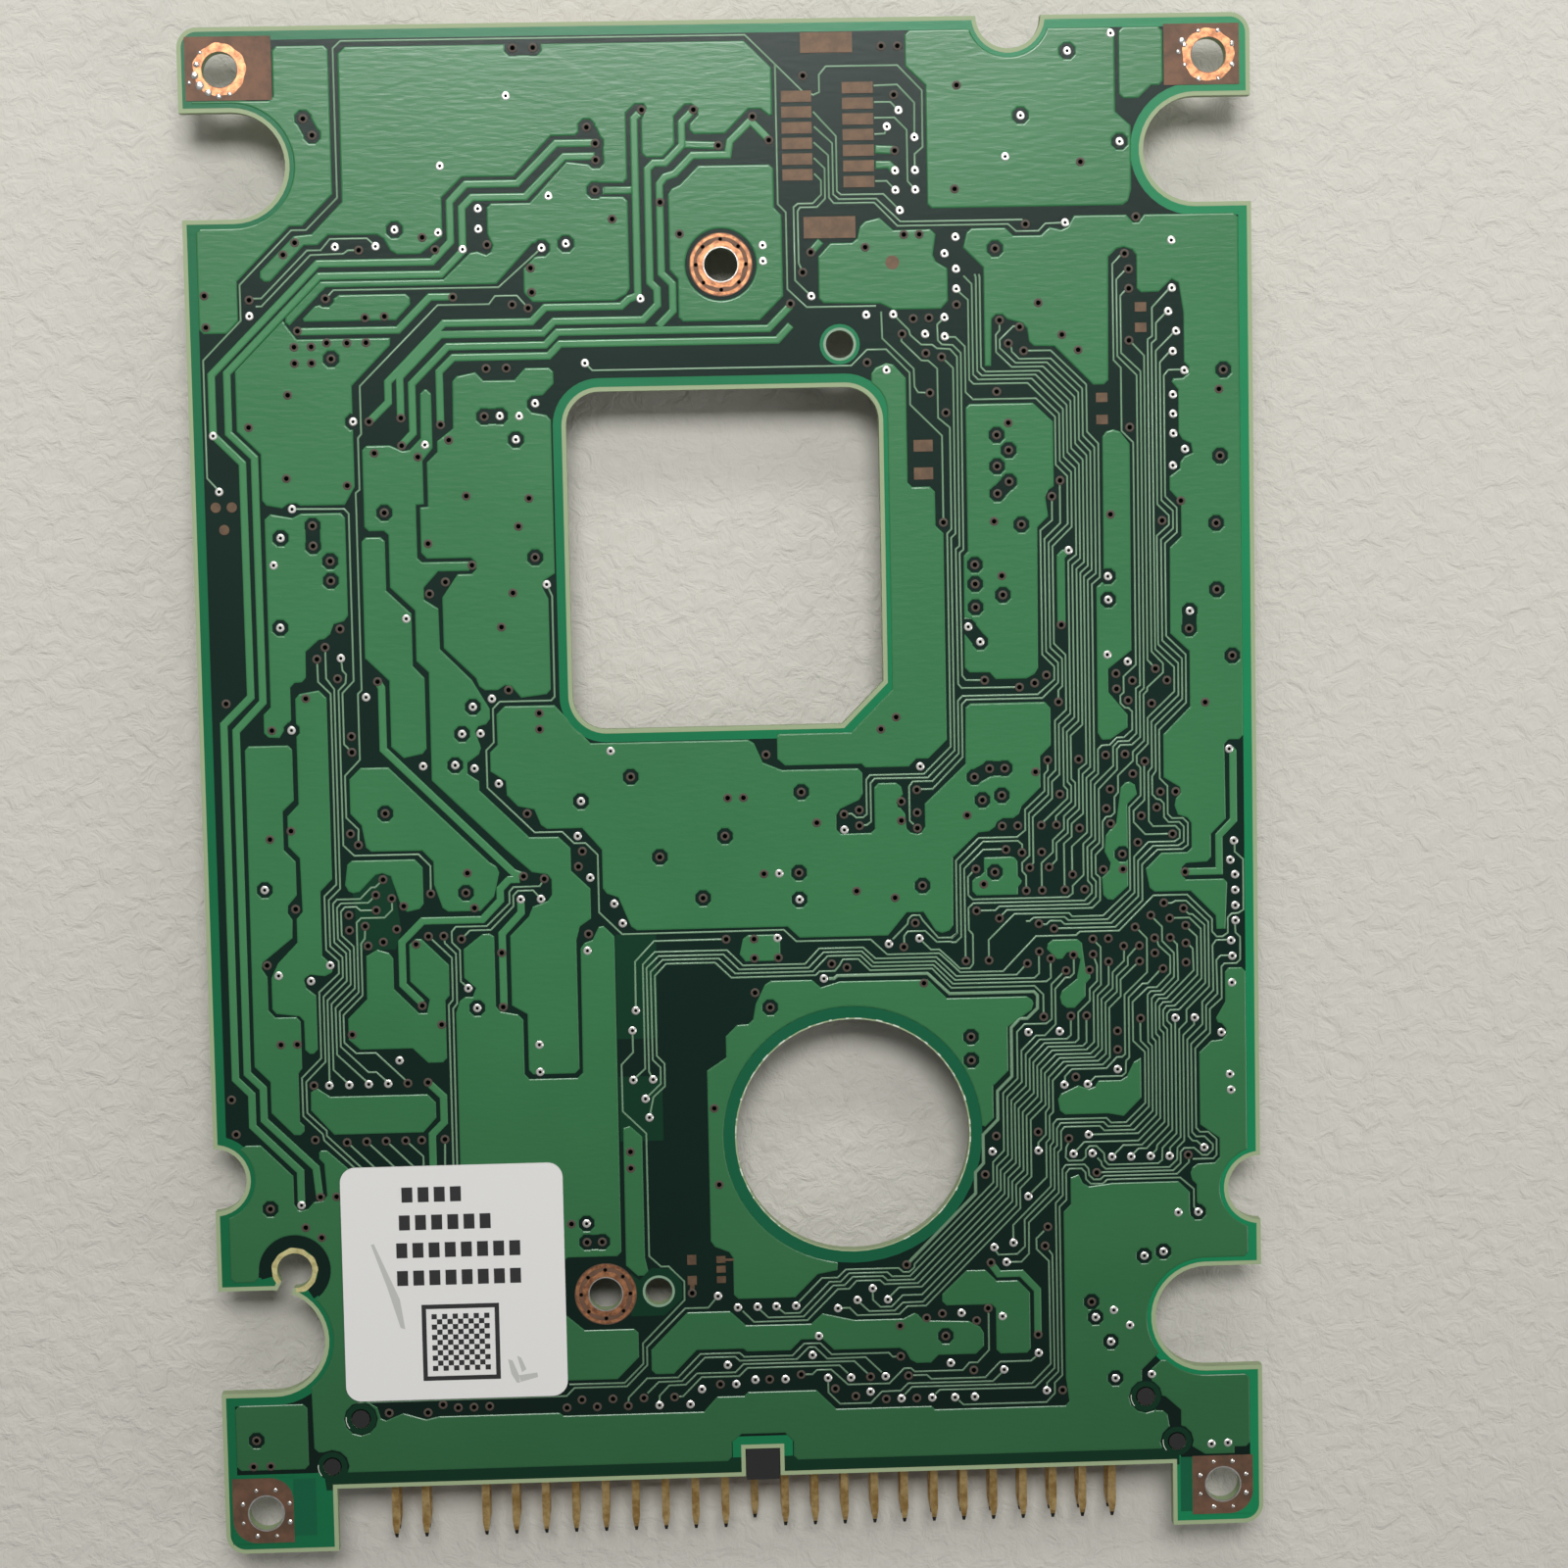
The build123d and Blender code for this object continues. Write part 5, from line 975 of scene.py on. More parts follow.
# from the read channel down past the controller
RIGHT_BUS = [
    [(26, 34.4), (25.4, 33.8), (25.4, 27.6), (25.87, 27.1), (25.87, 23), (26.62, 22.25),
     (26.62, 7.75), (25.8, 7), (25.8, 5.95), (25.57, 5.75), (25.57, 5.25), (25.85, 4.95),
     (26.1, 4.92), (26.33, 4.7), (26.33, 3.5), (25.78, 3), (25.3, 3), (24.85, 2.53), (24.3, 2.5),
     (24.05, 2.25), (24.05, 0.65), (23.55, 0.2), (23.55, -3.45), (23, -3.95), (23, -6),
     (22.27, -6.7), (22.27, -7.2), (21.95, -7.45), (15.65, -7.45), (15.37, -7.15), (15.37, -5.95),
     (15.7, -5.6)],
    [(26.2, 33.35), (25.65, 32.8), (25.65, 27.85), (26.9, 26.6), (26.88, 6.4), (26.6, 6.2),
     (26.6, 3.25), (26.1, 2.75), (25.4, 2.75), (25.05, 2.4), (25.05, 1.15), (23.8, -0.05),
     (23.8, -3.7), (23.27, -4.15), (23.27, -6.4), (23.53, -6.7), (23.53, -7.2), (23.05, -7.7),
     (15.7, -7.7), (15.37, -8), (15.37, -9.45), (15.63, -9.75), (15.63, -11.7), (15.4, -12),
     (14.75, -12), (14.2, -11.45)],
    [(26.2, 32.05), (25.9, 31.75), (25.9, 28.05), (27.15, 26.85), (27.13, 6.2), (26.85, 5.95),
     (26.85, 3), (26.3, 2.5), (25.55, 2.5), (25.3, 2.25), (25.3, 0.9), (24.07, -0.35),
     (24.07, -3.9), (23.53, -4.4), (23.53, -6.15), (23.8, -6.45), (23.8, -7.45), (23.3, -7.95),
     (17.4, -7.95), (17.15, -8.2), (16.1, -8.2)],
    [(26.55, 28.75), (27.4, 27.85), (27.38, 8.05), (27.7, 7.7)],
    [(29.1, 32.15), (27.95, 30.95), (27.95, 29.1), (27.65, 28.9), (27.65, 8.6), (28.4, 7.8),
     (28.4, 7.2), (27.35, 6.25), (27.35, 6.05), (27.1, 5.8), (27.1, 2.75), (26.35, 2.05),
     (26.35, 1.45), (25.35, 0.5), (25.35, -0.6), (25.1, -0.9), (25.1, -1.95), (24.85, -2.18),
     (24.55, -2.2), (24.3, -2.5), (24.3, -4.2), (23.8, -4.7), (23.8, -5.95), (24.07, -6.2),
     (24.07, -7.7), (23.55, -8.2), (17.9, -8.2), (17.55, -8.55)],
    [(28.8, 30.55), (28.2, 29.95), (28.2, 28.9), (27.9, 28.65), (27.9, 8.75), (29.13, 7.55),
     (29.13, 5.95), (27.35, 4.25), (27.35, 2.55), (26.6, 1.8), (26.6, 1.25), (26.83, 1),
     (26.83, -0.85), (26.07, -1.6), (26.07, -7.05), (24.25, -8.73), (22.2, -8.73), (22, -8.5),
     (18.4, -8.47), (16.67, -10.15), (16.67, -11.3)],
    [(29.3, 29.25), (28.17, 28.15), (28.15, 18.2), (28.9, 17.45), (28.9, 16.85), (28.1, 16.15),
     (28.1, 9.05), (29.4, 7.8), (29.4, 5.7), (27.6, 4), (27.6, 1), (27.35, 0.7), (27.35, -2.55),
     (27.62, -2.9), (29.1, -2.9), (29.38, -3.2), (29.38, -3.7), (29.05, -3.93), (27.3, -3.93),
     (26.35, -4.88), (26.35, -7.25), (24.55, -8.98), (21.95, -8.98), (21.7, -8.75),
     (19.65, -8.75), (19.4, -8.97), (19.15, -8.97)],
    [(29.05, 28.05), (28.43, 27.4), (28.42, 18.45), (29.17, 17.75), (29.17, 16.6), (28.37, 15.9),
     (28.37, 9.3), (29.65, 8.1), (29.65, 5.45), (27.85, 3.75), (27.85, 0.75), (27.6, 0.4),
     (27.6, -0.8), (27.87, -1.1), (28.12, -1.15), (28.35, -1.4), (28.35, -2.3), (28.65, -2.65),
     (29.35, -2.65), (29.65, -2.95), (29.65, -3.95), (29.3, -4.2), (27.6, -4.2), (26.6, -5.15),
     (26.6, -7.5), (24.8, -9.23), (21.7, -9.23), (21.45, -9), (20.75, -8.98), (20.5, -9.22),
     (20.2, -9.22)],
    [(29.8, 26.9), (28.98, 26.9), (28.68, 26.55), (28.67, 18.7), (29.42, 17.95), (29.42, 16.35),
     (28.63, 15.65), (28.63, 9.6), (29.9, 8.35), (29.9, 5.2), (28.1, 3.45), (28.1, 0.25),
     (28.6, -0.25), (28.6, -2.1), (28.88, -2.4), (29.6, -2.4), (29.92, -2.72), (29.92, -4.18),
     (29.55, -4.45), (27.9, -4.45), (26.87, -5.4), (26.87, -7.77), (25.05, -9.5), (21.2, -9.5)],
    [(27.08, 1.2), (27.08, -1.15), (26.35, -1.85), (26.35, -2.6), (27.1, -3.42), (28.7, -3.42)],
    [(33, -4.1), (33, -4.7), (33.55, -5.2), (33.55, -8.55), (33.2, -8.77), (32.75, -8.8),
     (32.5, -9.05), (32.5, -10.05), (32.15, -10.3), (31.75, -10.3), (31.45, -9.95), (31.45, -9.1),
     (29.82, -7.47), (27.6, -7.47), (25.3, -9.75), (22.7, -9.75), (22.45, -9.98), (19.8, -9.98),
     (17.6, -12.25), (14.75, -12.25), (14.2, -11.7)],
]

# from the buffer memory, bending round the field beside the window
MIDDLE_BUS = [
    [(14.5, 29.27), (15.1, 29.27), (15.72, 28.65), (15.72, 25.7), (16.2, 25.22), (20.3, 25.22),
     (21.53, 24), (21.53, 20.9), (22.27, 20.15), (22.27, 17.05), (21, 15.85), (21, 9),
     (21.77, 8.25), (21.77, 6.45), (21.5, 6.2), (21.5, 5.65)],
    [(15.3, 32.25), (15.97, 31.65), (15.97, 26.5), (16.25, 26.22), (19.77, 26.22), (21.8, 24.2),
     (21.8, 21.15), (22.53, 20.4), (22.53, 16.85), (21.25, 15.6), (21.25, 9.25), (22, 8.5),
     (22, 4.9), (21.25, 4.2), (21.25, 0.95), (20.75, 0.45), (20.75, -0.65), (19.45, -1.85),
     (19.45, -4.65), (18.95, -5.1), (18.95, -5.65), (19.2, -5.95), (19.2, -6.8)],
    [(15.7, 33.2), (16.23, 32.65), (16.23, 26.83), (16.55, 26.5), (20.05, 26.5), (22.05, 24.5),
     (22.05, 21.4), (22.8, 20.65), (22.8, 15.02), (22.27, 14.62), (22.27, 4.65), (21.5, 3.95),
     (21.5, 0.65), (21, 0.2), (21, -0.9), (19.7, -2.1), (19.7, -5.1), (19.55, -5.3)],
    [(16.42, 33.3), (16.5, 33.1), (16.5, 27.05), (16.8, 26.75), (20.3, 26.75), (22.3, 24.75),
     (22.3, 21.7), (23.05, 20.9), (23.05, 14.78), (22.53, 14.35), (22.53, 4.4), (21.77, 3.7),
     (21.77, -0.1), (22, -0.35), (22, -0.92), (20.35, -2.48)],
    [(16.7, 33.3), (16.75, 33.1), (16.75, 27.3), (17.05, 27), (20.55, 27), (22.55, 25),
     (22.55, 21.95), (23.3, 21.2), (23.3, 14.53), (22.8, 14.1), (22.8, 4.15), (22.02, 3.45),
     (22.02, 0.15), (22.25, -0.1), (22.25, -1.15), (21.22, -2.1), (21.22, -2.45)],
    [(18, 30.15), (18, 29.65), (17.75, 29.37), (17.75, 28.25), (18.75, 27.27), (20.8, 27.27),
     (22.82, 25.27), (22.82, 22.25), (23.55, 21.47), (23.55, 14.28), (23.05, 13.85), (23.05, 3.9),
     (22.27, 3.2), (22.27, 0.35), (22.52, 0.1), (22.52, -1.4), (21.75, -2.1), (21.75, -2.95),
     (21, -3.65), (21, -4.45), (20.23, -5.15), (20.23, -6.8)],
    [(19.1, 29.87), (18.9, 29.9), (18, 29.05), (18, 28.5), (19, 27.53), (21.05, 27.53),
     (23.07, 25.55), (23.07, 22.5), (23.8, 21.72), (23.8, 14.03), (23.28, 13.6), (23.28, 1.35),
     (22.77, 0.95), (22.77, -1.65), (22, -2.35), (22, -3.2), (21.23, -3.85), (21.23, -4.95),
     (20.9, -5.3)],
    [(18.6, 28.7), (18.75, 28.5), (18.78, 28.25), (19.25, 27.78), (21.3, 27.78), (23.33, 25.8),
     (23.33, 22.75), (24.07, 21.98), (24.07, 13.78), (23.53, 13.35), (23.53, 1.1), (23.02, 0.65),
     (23.02, -1.95), (22.25, -2.6), (22.25, -3.45), (21.73, -3.9), (21.73, -6.8)],
    [(19.7, 28.3), (21.3, 28.3), (23.6, 26.05), (23.6, 23), (24.33, 22.22), (24.33, 13.52),
     (23.8, 13.08), (23.8, 0.85), (23.27, 0.4), (23.27, -3.2), (22.25, -4.1), (22.25, -5.75)],
    [(21.78, 19.75), (21.78, 17.1), (20.73, 16.1), (20.73, 8.75), (21.5, 8), (21.5, 6.7),
     (20.45, 5.7), (15.45, 5.7), (15.15, 5.4), (15.15, 1.95), (13.15, -0.1), (12.3, -0.1)],
    [(21.25, 18.7), (21.25, 17.3), (20.47, 16.65), (20.47, 8.55), (21.25, 7.75), (21.25, 6.9),
     (20.15, 5.95), (15.2, 5.95), (14.9, 5.65), (14.9, 2.2), (13.15, 0.42), (11.85, 0.42),
     (11.6, 0.1), (11.6, -1), (11.6, -2.15), (11.85, -2.4)],
    [(20.73, 1.5), (20.73, 0.95), (20.5, 0.7), (20.5, -0.4), (19.2, -1.6), (19.2, -2.95),
     (18.65, -3.4), (16.12, -3.4), (14.6, -4.85), (14.6, -9.65), (14.2, -10)],
    [(18.97, -4.3), (18.97, -3.9), (18.7, -3.65), (16.4, -3.65), (14.87, -5.15), (14.87, -9.9),
     (14.5, -10.25), (14.2, -10.25)],
    [(17.75, -4.18), (16.4, -4.18), (15.13, -5.4), (15.13, -11.35)],
]

# from the lower field of plated holes, round and under the controller
LOWER_RIGHT = [
    [(21.6, -12.4), (20.77, -13.2), (20.77, -15.5), (20.4, -15.8), (18.95, -15.8), (18.45, -16.3),
     (18.45, -19.4), (17.47, -20.35), (17.47, -24.2), (16.73, -24.95), (16.73, -26.3),
     (11.42, -31.62), (11.4, -31.85), (11.05, -32.15), (10.65, -32.15), (10.35, -31.87),
     (6.85, -31.87), (6.3, -32.4), (5.25, -32.4), (3.7, -33.95)],
    [(22.27, -11.4), (22.27, -12.5), (22, -12.77), (21.7, -12.77), (21.02, -13.5),
     (21.02, -15.85), (20.3, -16.58), (19.7, -16.58), (18.72, -17.55), (18.72, -19.65),
     (17.73, -20.6), (17.73, -24.5), (16.98, -25.22), (16.98, -26.55), (11.1, -32.43),
     (9.9, -32.42), (9.6, -32.13), (7.05, -32.13), (6.5, -32.67), (5.75, -32.67), (3.75, -34.7),
     (2.75, -34.7), (2.4, -34.4)],
    [(22.02, -15.5), (22.02, -16.6), (21.75, -16.85), (19.95, -16.85), (19, -17.8), (19, -19.9),
     (18, -20.85), (18, -24.75), (17.22, -25.5), (17.22, -26.82), (11.37, -32.67), (9.6, -32.67),
     (9.3, -32.38), (7.3, -32.38), (6.75, -32.92), (6, -32.92), (4, -34.95), (1.65, -34.95),
     (1.1, -34.4)],
    [(23.05, -15.5), (23.05, -17.1), (22.8, -17.35), (20.5, -17.35), (19.5, -18.35),
     (19.5, -20.4), (18.48, -21.4), (18.5, -25.28), (17.73, -26.02), (17.73, -27.3),
     (11.87, -33.17), (10.35, -33.18), (9.75, -33.75)],
    [(23.6, -11.45), (23.8, -12), (23.8, -13.05), (23.3, -13.55), (23.3, -14.35), (22.52, -15.1),
     (22.52, -16.88), (22.3, -17.1), (20.25, -17.1), (19.25, -18.12), (19.25, -20.15),
     (18.23, -21.1), (18.25, -25.03), (17.47, -25.75), (17.47, -27.07), (11.63, -32.92),
     (9.4, -32.93), (9.1, -32.65), (7.55, -32.65), (7.05, -33.17), (6.3, -33.17), (4.25, -35.2),
     (0.7, -35.22), (-0.05, -34.45)],
    [(23.65, -10.4), (24.05, -10.8), (24.05, -13.3), (23.55, -13.8), (23.55, -17.1),
     (23.05, -17.6), (20.75, -17.6), (19.75, -18.6), (19.75, -20.65), (18.75, -21.65),
     (18.75, -25.55), (17.98, -26.27), (17.98, -27.6), (11.88, -33.7), (10.6, -33.7),
     (9.85, -34.45), (9.1, -34.45), (8.6, -33.95), (8.6, -33.4)],
    [(24.57, -11.95), (24.57, -13.3), (23.82, -14), (23.82, -17.4), (23.3, -17.87), (21, -17.87),
     (20, -18.85), (20, -20.95), (19, -21.9), (19, -25.8), (18.23, -26.5), (18.25, -27.85),
     (11.92, -34.18), (10.6, -34.2), (10.05, -34.72), (8.35, -34.72), (7.75, -34.15)],
    [(25.6, -10.9), (25.6, -11.75), (24.83, -12.5), (24.83, -13.55), (24.07, -14.25),
     (24.07, -17.6), (23.55, -18.12), (21.25, -18.12), (20.25, -19.1), (20.27, -21.2),
     (19.27, -22.18), (19.27, -25.98), (18.5, -26.75), (18.5, -28.08), (12.13, -34.45),
     (10.9, -34.45), (10.35, -34.97), (7.55, -34.97), (7.05, -34.45), (6.55, -34.45)],
    [(26.45, -10.85), (25.85, -11.5), (25.85, -12.05), (25.1, -12.75), (25.1, -13.8),
     (24.33, -14.5), (24.33, -17.9), (23.8, -18.37), (21.5, -18.37), (20.5, -19.38),
     (20.5, -21.4), (20.27, -21.7), (20.27, -23.2), (19.75, -23.72), (19.75, -23.95)],
    [(26.45, -11.95), (25.35, -13), (25.35, -14.1), (24.58, -14.85), (24.58, -18.15),
     (24.1, -18.63), (21.75, -18.63), (20.77, -19.6), (20.77, -21.7), (20.52, -21.95),
     (20.52, -23.48), (20.28, -23.72), (20.28, -26.05), (19.25, -27.05)],
    [(26.5, -9.65), (27.12, -10.3), (27.12, -12.55), (25.6, -14), (25.6, -17.95), (25.4, -18.15),
     (25.05, -18.15), (24.35, -18.88), (22.05, -18.88), (21.58, -19.35), (21.58, -19.7)],
    [(28, -12.4), (27.15, -13.3), (26.8, -13.3), (25.87, -14.2), (25.87, -18.2), (25.65, -18.4),
     (25.62, -19.2), (25.38, -19.42), (23.6, -19.42), (23.2, -19.8)],
    [(27.8, -10.45), (27.9, -10.8), (28.65, -11.5), (28.65, -12.65), (27.75, -13.57),
     (27.15, -13.57), (26.13, -14.5), (26.13, -17.1), (26.9, -17.85), (26.9, -21.25),
     (25.6, -22.52), (24.6, -22.52), (24.3, -22.2), (21.02, -22.2), (20.75, -22.5),
     (20.75, -23.7), (20.55, -23.95), (20.55, -26.67), (18, -29.2), (18, -30.05)],
    [(26.62, -15.75), (26.62, -17.1), (27.13, -17.65), (27.13, -21.5), (25.85, -22.77),
     (24.4, -22.77), (24.1, -22.46), (21.25, -22.46), (21, -22.8), (21, -23.95), (20.8, -24.15),
     (20.8, -26.85), (18.77, -28.85), (18.77, -30.65), (18.25, -31.15), (17, -31.17),
     (16.82, -30.9)],
    [(27.5, -8.9), (28.13, -9.55), (28.13, -10.5), (28.9, -11.3), (28.9, -12.9), (28, -13.82),
     (27.35, -13.82), (27.13, -14.05), (27.13, -17.2), (27.38, -17.45), (27.38, -21.8),
     (26.15, -23.03), (24.15, -23.03), (23.85, -22.72), (21.5, -22.72), (21.27, -23),
     (21.27, -24.2), (21.05, -24.4), (21.07, -27.1), (19.05, -29.05), (19.03, -31.15),
     (18.52, -31.68), (17.8, -31.68)],
    [(28.8, -10.4), (29.12, -10.75), (29.17, -13.1), (28.2, -14.07), (27.65, -14.07),
     (27.4, -14.3), (27.4, -16.9), (27.63, -17.15), (27.63, -22.05), (26.4, -23.28),
     (23.25, -23.28)],
    [(29.85, -10.75), (30.15, -11.05), (30.2, -12.5), (28.4, -14.32), (27.9, -14.32),
     (27.65, -14.6), (27.65, -16.65), (27.88, -16.9), (27.88, -22.3), (26.4, -23.77),
     (22.8, -23.77), (22.2, -24.4)],
    [(29.85, -9.7), (30.43, -10.25), (30.45, -12.8), (28.68, -14.57), (28.15, -14.57),
     (27.9, -14.85), (27.9, -16.35), (28.16, -16.62), (28.16, -22.55), (26.65, -24.05),
     (25.4, -24.05), (24.75, -24.7)],
    [(28.8, -9), (29.95, -9), (30.7, -9.75), (30.72, -13.05), (28.93, -14.83), (28.38, -14.83),
     (28.15, -15.1), (28.15, -16.1), (28.4, -16.37), (28.42, -22.8), (26.95, -24.3),
     (26.4, -24.3), (26, -24.7)],
    [(29.65, -8.5), (29.95, -8.77), (30.15, -8.77), (30.95, -9.5), (30.97, -13.35), (29.2, -15.1),
     (28.62, -15.1), (28.4, -15.35), (28.4, -15.82), (28.67, -16.1), (28.67, -23.1),
     (27.65, -24.1), (27.6, -24.4), (27.3, -24.7)],
    [(28.93, -15.8), (28.95, -23.35), (28, -24.3), (27.97, -25.1), (27.7, -25.33), (24.4, -25.33),
     (24.15, -25.05), (24.1, -24.55), (23.6, -24.05), (23.15, -24.05), (22.9, -24.3),
     (22.9, -24.75), (22.65, -25), (21.75, -25), (21.55, -24.75), (21.6, -24.1), (21.85, -23.65)],
    [(28.4, -8), (28.8, -8), (29.05, -7.87), (29.75, -7.87), (31.2, -9.3), (31.22, -13.6),
     (29.7, -15.1), (29.7, -15.9), (29.2, -16.4), (29.22, -23.6), (28.5, -24.3), (28.5, -24.7)],
    [(30.2, -15.8), (30.2, -16.1), (29.46, -16.8), (29.46, -23.85), (29, -24.3), (28.97, -25.1),
     (28.45, -25.6), (24.2, -25.6), (23.95, -25.35), (23.9, -25.1), (23.65, -24.85)],
    [(32.6, -10.53), (31.72, -10.53), (31.47, -10.85), (31.5, -13.85), (30.75, -14.6),
     (30.75, -16.1), (29.73, -17.1), (29.73, -23.55), (30, -23.87), (30.3, -23.9),
     (30.65, -24.25)],
    [(32.6, -11.57), (32, -11.57), (31.72, -11.85), (31.77, -14.1), (31, -14.85), (31, -16.45),
     (29.98, -17.4), (29.98, -23.3), (30.25, -23.6), (30.8, -23.6), (31.35, -24.15),
     (31.35, -24.5), (31, -24.85), (30.65, -24.85), (30.1, -24.35), (29.45, -24.35),
     (29.2, -24.6), (29.2, -25.35), (28.7, -25.83), (23.75, -25.83)],
    [(32.97, -9.45), (33, -10.05), (33.3, -10.35), (33.3, -11.85), (33.05, -12.1), (32.25, -12.1),
     (32.05, -12.3), (32.05, -14.4), (31.25, -15.1), (31.25, -16.7), (30.25, -17.7), (30.25, -23),
     (30.5, -23.3), (31.05, -23.3), (31.6, -23.8), (31.6, -24.85), (31.38, -25.1), (30, -25.1)],
    [(29.75, -25.05), (29.75, -25.3), (28.95, -26.07), (24.1, -26.07), (23.85, -26.3),
     (23.4, -26.3), (23.1, -26), (23.05, -25.55), (22.8, -25.27), (21.55, -25.27),
     (21.33, -25.55), (21.33, -27.3), (20.85, -27.8), (20.87, -39.15), (20.1, -39.9),
     (20.1, -40.2)],
    [(30.2, -28.45), (30.05, -28.3), (30.05, -27.1), (29.15, -26.32), (24.3, -26.32), (24, -26.6),
     (23.2, -26.58), (22.88, -26.25), (22.85, -25.8), (22.6, -25.53), (21.8, -25.53),
     (21.57, -25.8), (21.57, -27.6), (21.1, -28.05), (21.13, -39.4), (20.62, -39.9),
     (20.62, -40.6), (20.05, -41.2), (14.5, -41.2), (14.2, -40.9)],
    [(20.05, -29.65), (19.53, -30.15), (19.53, -30.85), (20.33, -31.68), (20.37, -38.6),
     (19.1, -39.9), (11.1, -39.9), (10.6, -40.4)],
    [(20.35, -30.95), (20.57, -31.25), (20.62, -38.9), (19.3, -40.17), (12.95, -40.15),
     (12.65, -40.42)],
]

# along the edge over the power connector
BOTTOM_ROUTES = [
    [(16.27, -35.05), (16.27, -37.55), (15.5, -38.37), (14.95, -38.37), (14.5, -38.87),
     (11.3, -38.87), (11.05, -38.63), (10.6, -38.63), (9.6, -39.62), (6.85, -39.62),
     (5.75, -38.57), (4.8, -38.57), (4.5, -38.85), (4.05, -38.85)],
    [(19.38, -38.1), (19.05, -38.37), (17, -38.37), (16, -39.4), (12.4, -39.4), (12.1, -39.12),
     (11.2, -39.12)],
    [(17.1, -39.1), (16.5, -39.67), (10.85, -39.65), (10.35, -40.13), (9.1, -40.15),
     (8.35, -40.9), (6.3, -40.9), (5.53, -40.1), (5.53, -39.4)],
    [(10.1, -37.83), (9.85, -37.83), (9.6, -37.55), (5.8, -37.55), (5.05, -36.77), (4, -36.77),
     (3.2, -37.55), (0, -37.55), (-0.3, -37.27), (-2.9, -37.27), (-4.4, -38.8), (-6.45, -38.8),
     (-7.7, -40.05), (-7.73, -40.3)],
    [(9.1, -38.85), (8.05, -37.8), (5.5, -37.83), (4.7, -37.02), (4.3, -37.02), (3.5, -37.8),
     (-0.3, -37.8), (-0.6, -37.52), (-2.6, -37.52), (-4.15, -39.05), (-5.7, -39.07),
     (-6.45, -39.8)],
    [(8.15, -38.9), (7.3, -38.05), (-0.05, -38.03), (-0.6, -38.57), (-3.15, -38.57),
     (-3.9, -39.3), (-5, -39.32), (-5.65, -39.98), (-5.67, -40.35)],
    [(6.85, -38.85), (6.3, -38.3), (0.2, -38.3), (-0.35, -38.83), (-2.85, -38.83), (-4.1, -40.08),
     (-4.35, -40.1)],
]

WIDE_ROUTE = [(6.1, -12.45), (6.45, -12.45), (6.65, -12.27), (12.6, -12.27), (14.03, -13.65),
              (19.6, -13.65), (19.83, -13.9), (19.83, -14.75), (19.15, -15.42), (18.65, -15.42),
              (18.07, -16.0), (18.07, -19.25), (17.1, -20.2), (17.1, -22.1), (16.1, -23.1),
              (16.1, -25.0), (15.55, -25.6), (15.55, -27.0), (11.05, -31.5)]


def fine_tracks(name, routes, section=TRACK_SECTION_MM):
    """All fine tracks of one set, as one mesh."""
    curve = bpy.data.curves.new(name, "CURVE")
    curve.dimensions = "3D"
    curve.bevel_depth = section
    curve.bevel_resolution = 1
    curve.use_fill_caps = True
    for route in routes:
        add_spline(curve, route)
    mesh = mesh_of_curve(curve)
    mesh.transform(Matrix.Diagonal((MM, MM, MM * TRACK_RISE_MM / section, 1.0)))
    mesh.transform(Matrix.Translation((0, 0, TOP + SKIN_MM * MM)))
    return settle(name, mesh, masked_track_with_sheen)


for name, routes in (("fine_tracks", FINE_ROUTES), ("read_channel_bus", RIGHT_BUS),
                     ("memory_bus", MIDDLE_BUS), ("controller_bus", LOWER_RIGHT),
                     ("bottom_edge_tracks", BOTTOM_ROUTES)):
    fine = fine_tracks(name, routes)
    print(name, len(routes), "routes,", len(fine.data.polygons), "faces")
fine_tracks("wide_track", [WIDE_ROUTE], WIDE_SECTION_MM)

# %% [markdown]
# ## Header pins
# Each pin is drawn to a blunt point, and its last 0.3 mm is coloured near black.

# %% Pins
TAPER_MM = 1.0
DARK_MM = 0.3
POINT = 0.35


def pointed_pins():
    """The CAD pins with the end of each drawn in to a blunt, dark point."""
    bm = bmesh.new()
    bm.from_mesh(nodes["header_pins"].data)
    bmesh.ops.remove_doubles(bm, verts=bm.verts, dist=1e-7)
    tip = min(v.co.y for v in bm.verts)
    for level in (TAPER_MM, DARK_MM):
        whole = bm.verts[:] + bm.edges[:] + bm.faces[:]
        bmesh.ops.bisect_plane(bm, geom=whole, plane_co=(0, tip + level * MM, 0), plane_no=(0, 1, 0))
    sides = sorted({round(v.co.x, 6) for v in bm.verts if v.co.y < tip + 0.01 * MM})
    axes = [(left + right) / 2 for left, right in zip(sides[::2], sides[1::2])]
    for vert in bm.verts:
        part = (vert.co.y - tip) / (TAPER_MM * MM)
        if part < 1:
            axis = min(axes, key=lambda x: abs(x - vert.co.x))
            vert.co.x = axis + (vert.co.x - axis) * (POINT + (1 - POINT) * part)
    for face in bm.faces:
        if face.calc_center_median().y < tip + DARK_MM * MM:
            face.material_index = 1
    bmesh.ops.recalc_face_normals(bm, faces=bm.faces)
    print("pins drawn in:", len(axes), "columns")
    mesh = mesh_of("header_pins_pointed", bm)
    for material in (gold_plate, dark_pin_end):
        mesh.materials.append(material)
    return settle("header_pins_pointed", mesh, None, "header_pins")


pins = pointed_pins()
print("pins:", len(pins.data.polygons), "faces")

# %% [markdown]
# ## Screw lands, keyhole and label
# Each screw has scraped a bright ring into its copper land, and eight small tin dots, or holes drawn as black
# discs of painted shade, stand round it. The keyhole shows a ring of bare laminate. The label carries plain
# bars and a plain tile.


# %% Rings, domes and flat marks
SCREWS = {
    "top_left": (-31.8, 47.1), "top_right": (31.8, 47.1),
    "low_left": (-31.8, -47.1), "low_right": (31.8, -47.1),
}
INNER_SCREWS = [(0.0, 34.2), (-9.05, -33.05)]
LAND_MM = 0.05
KEYHOLE = (-29.44, -30.9)


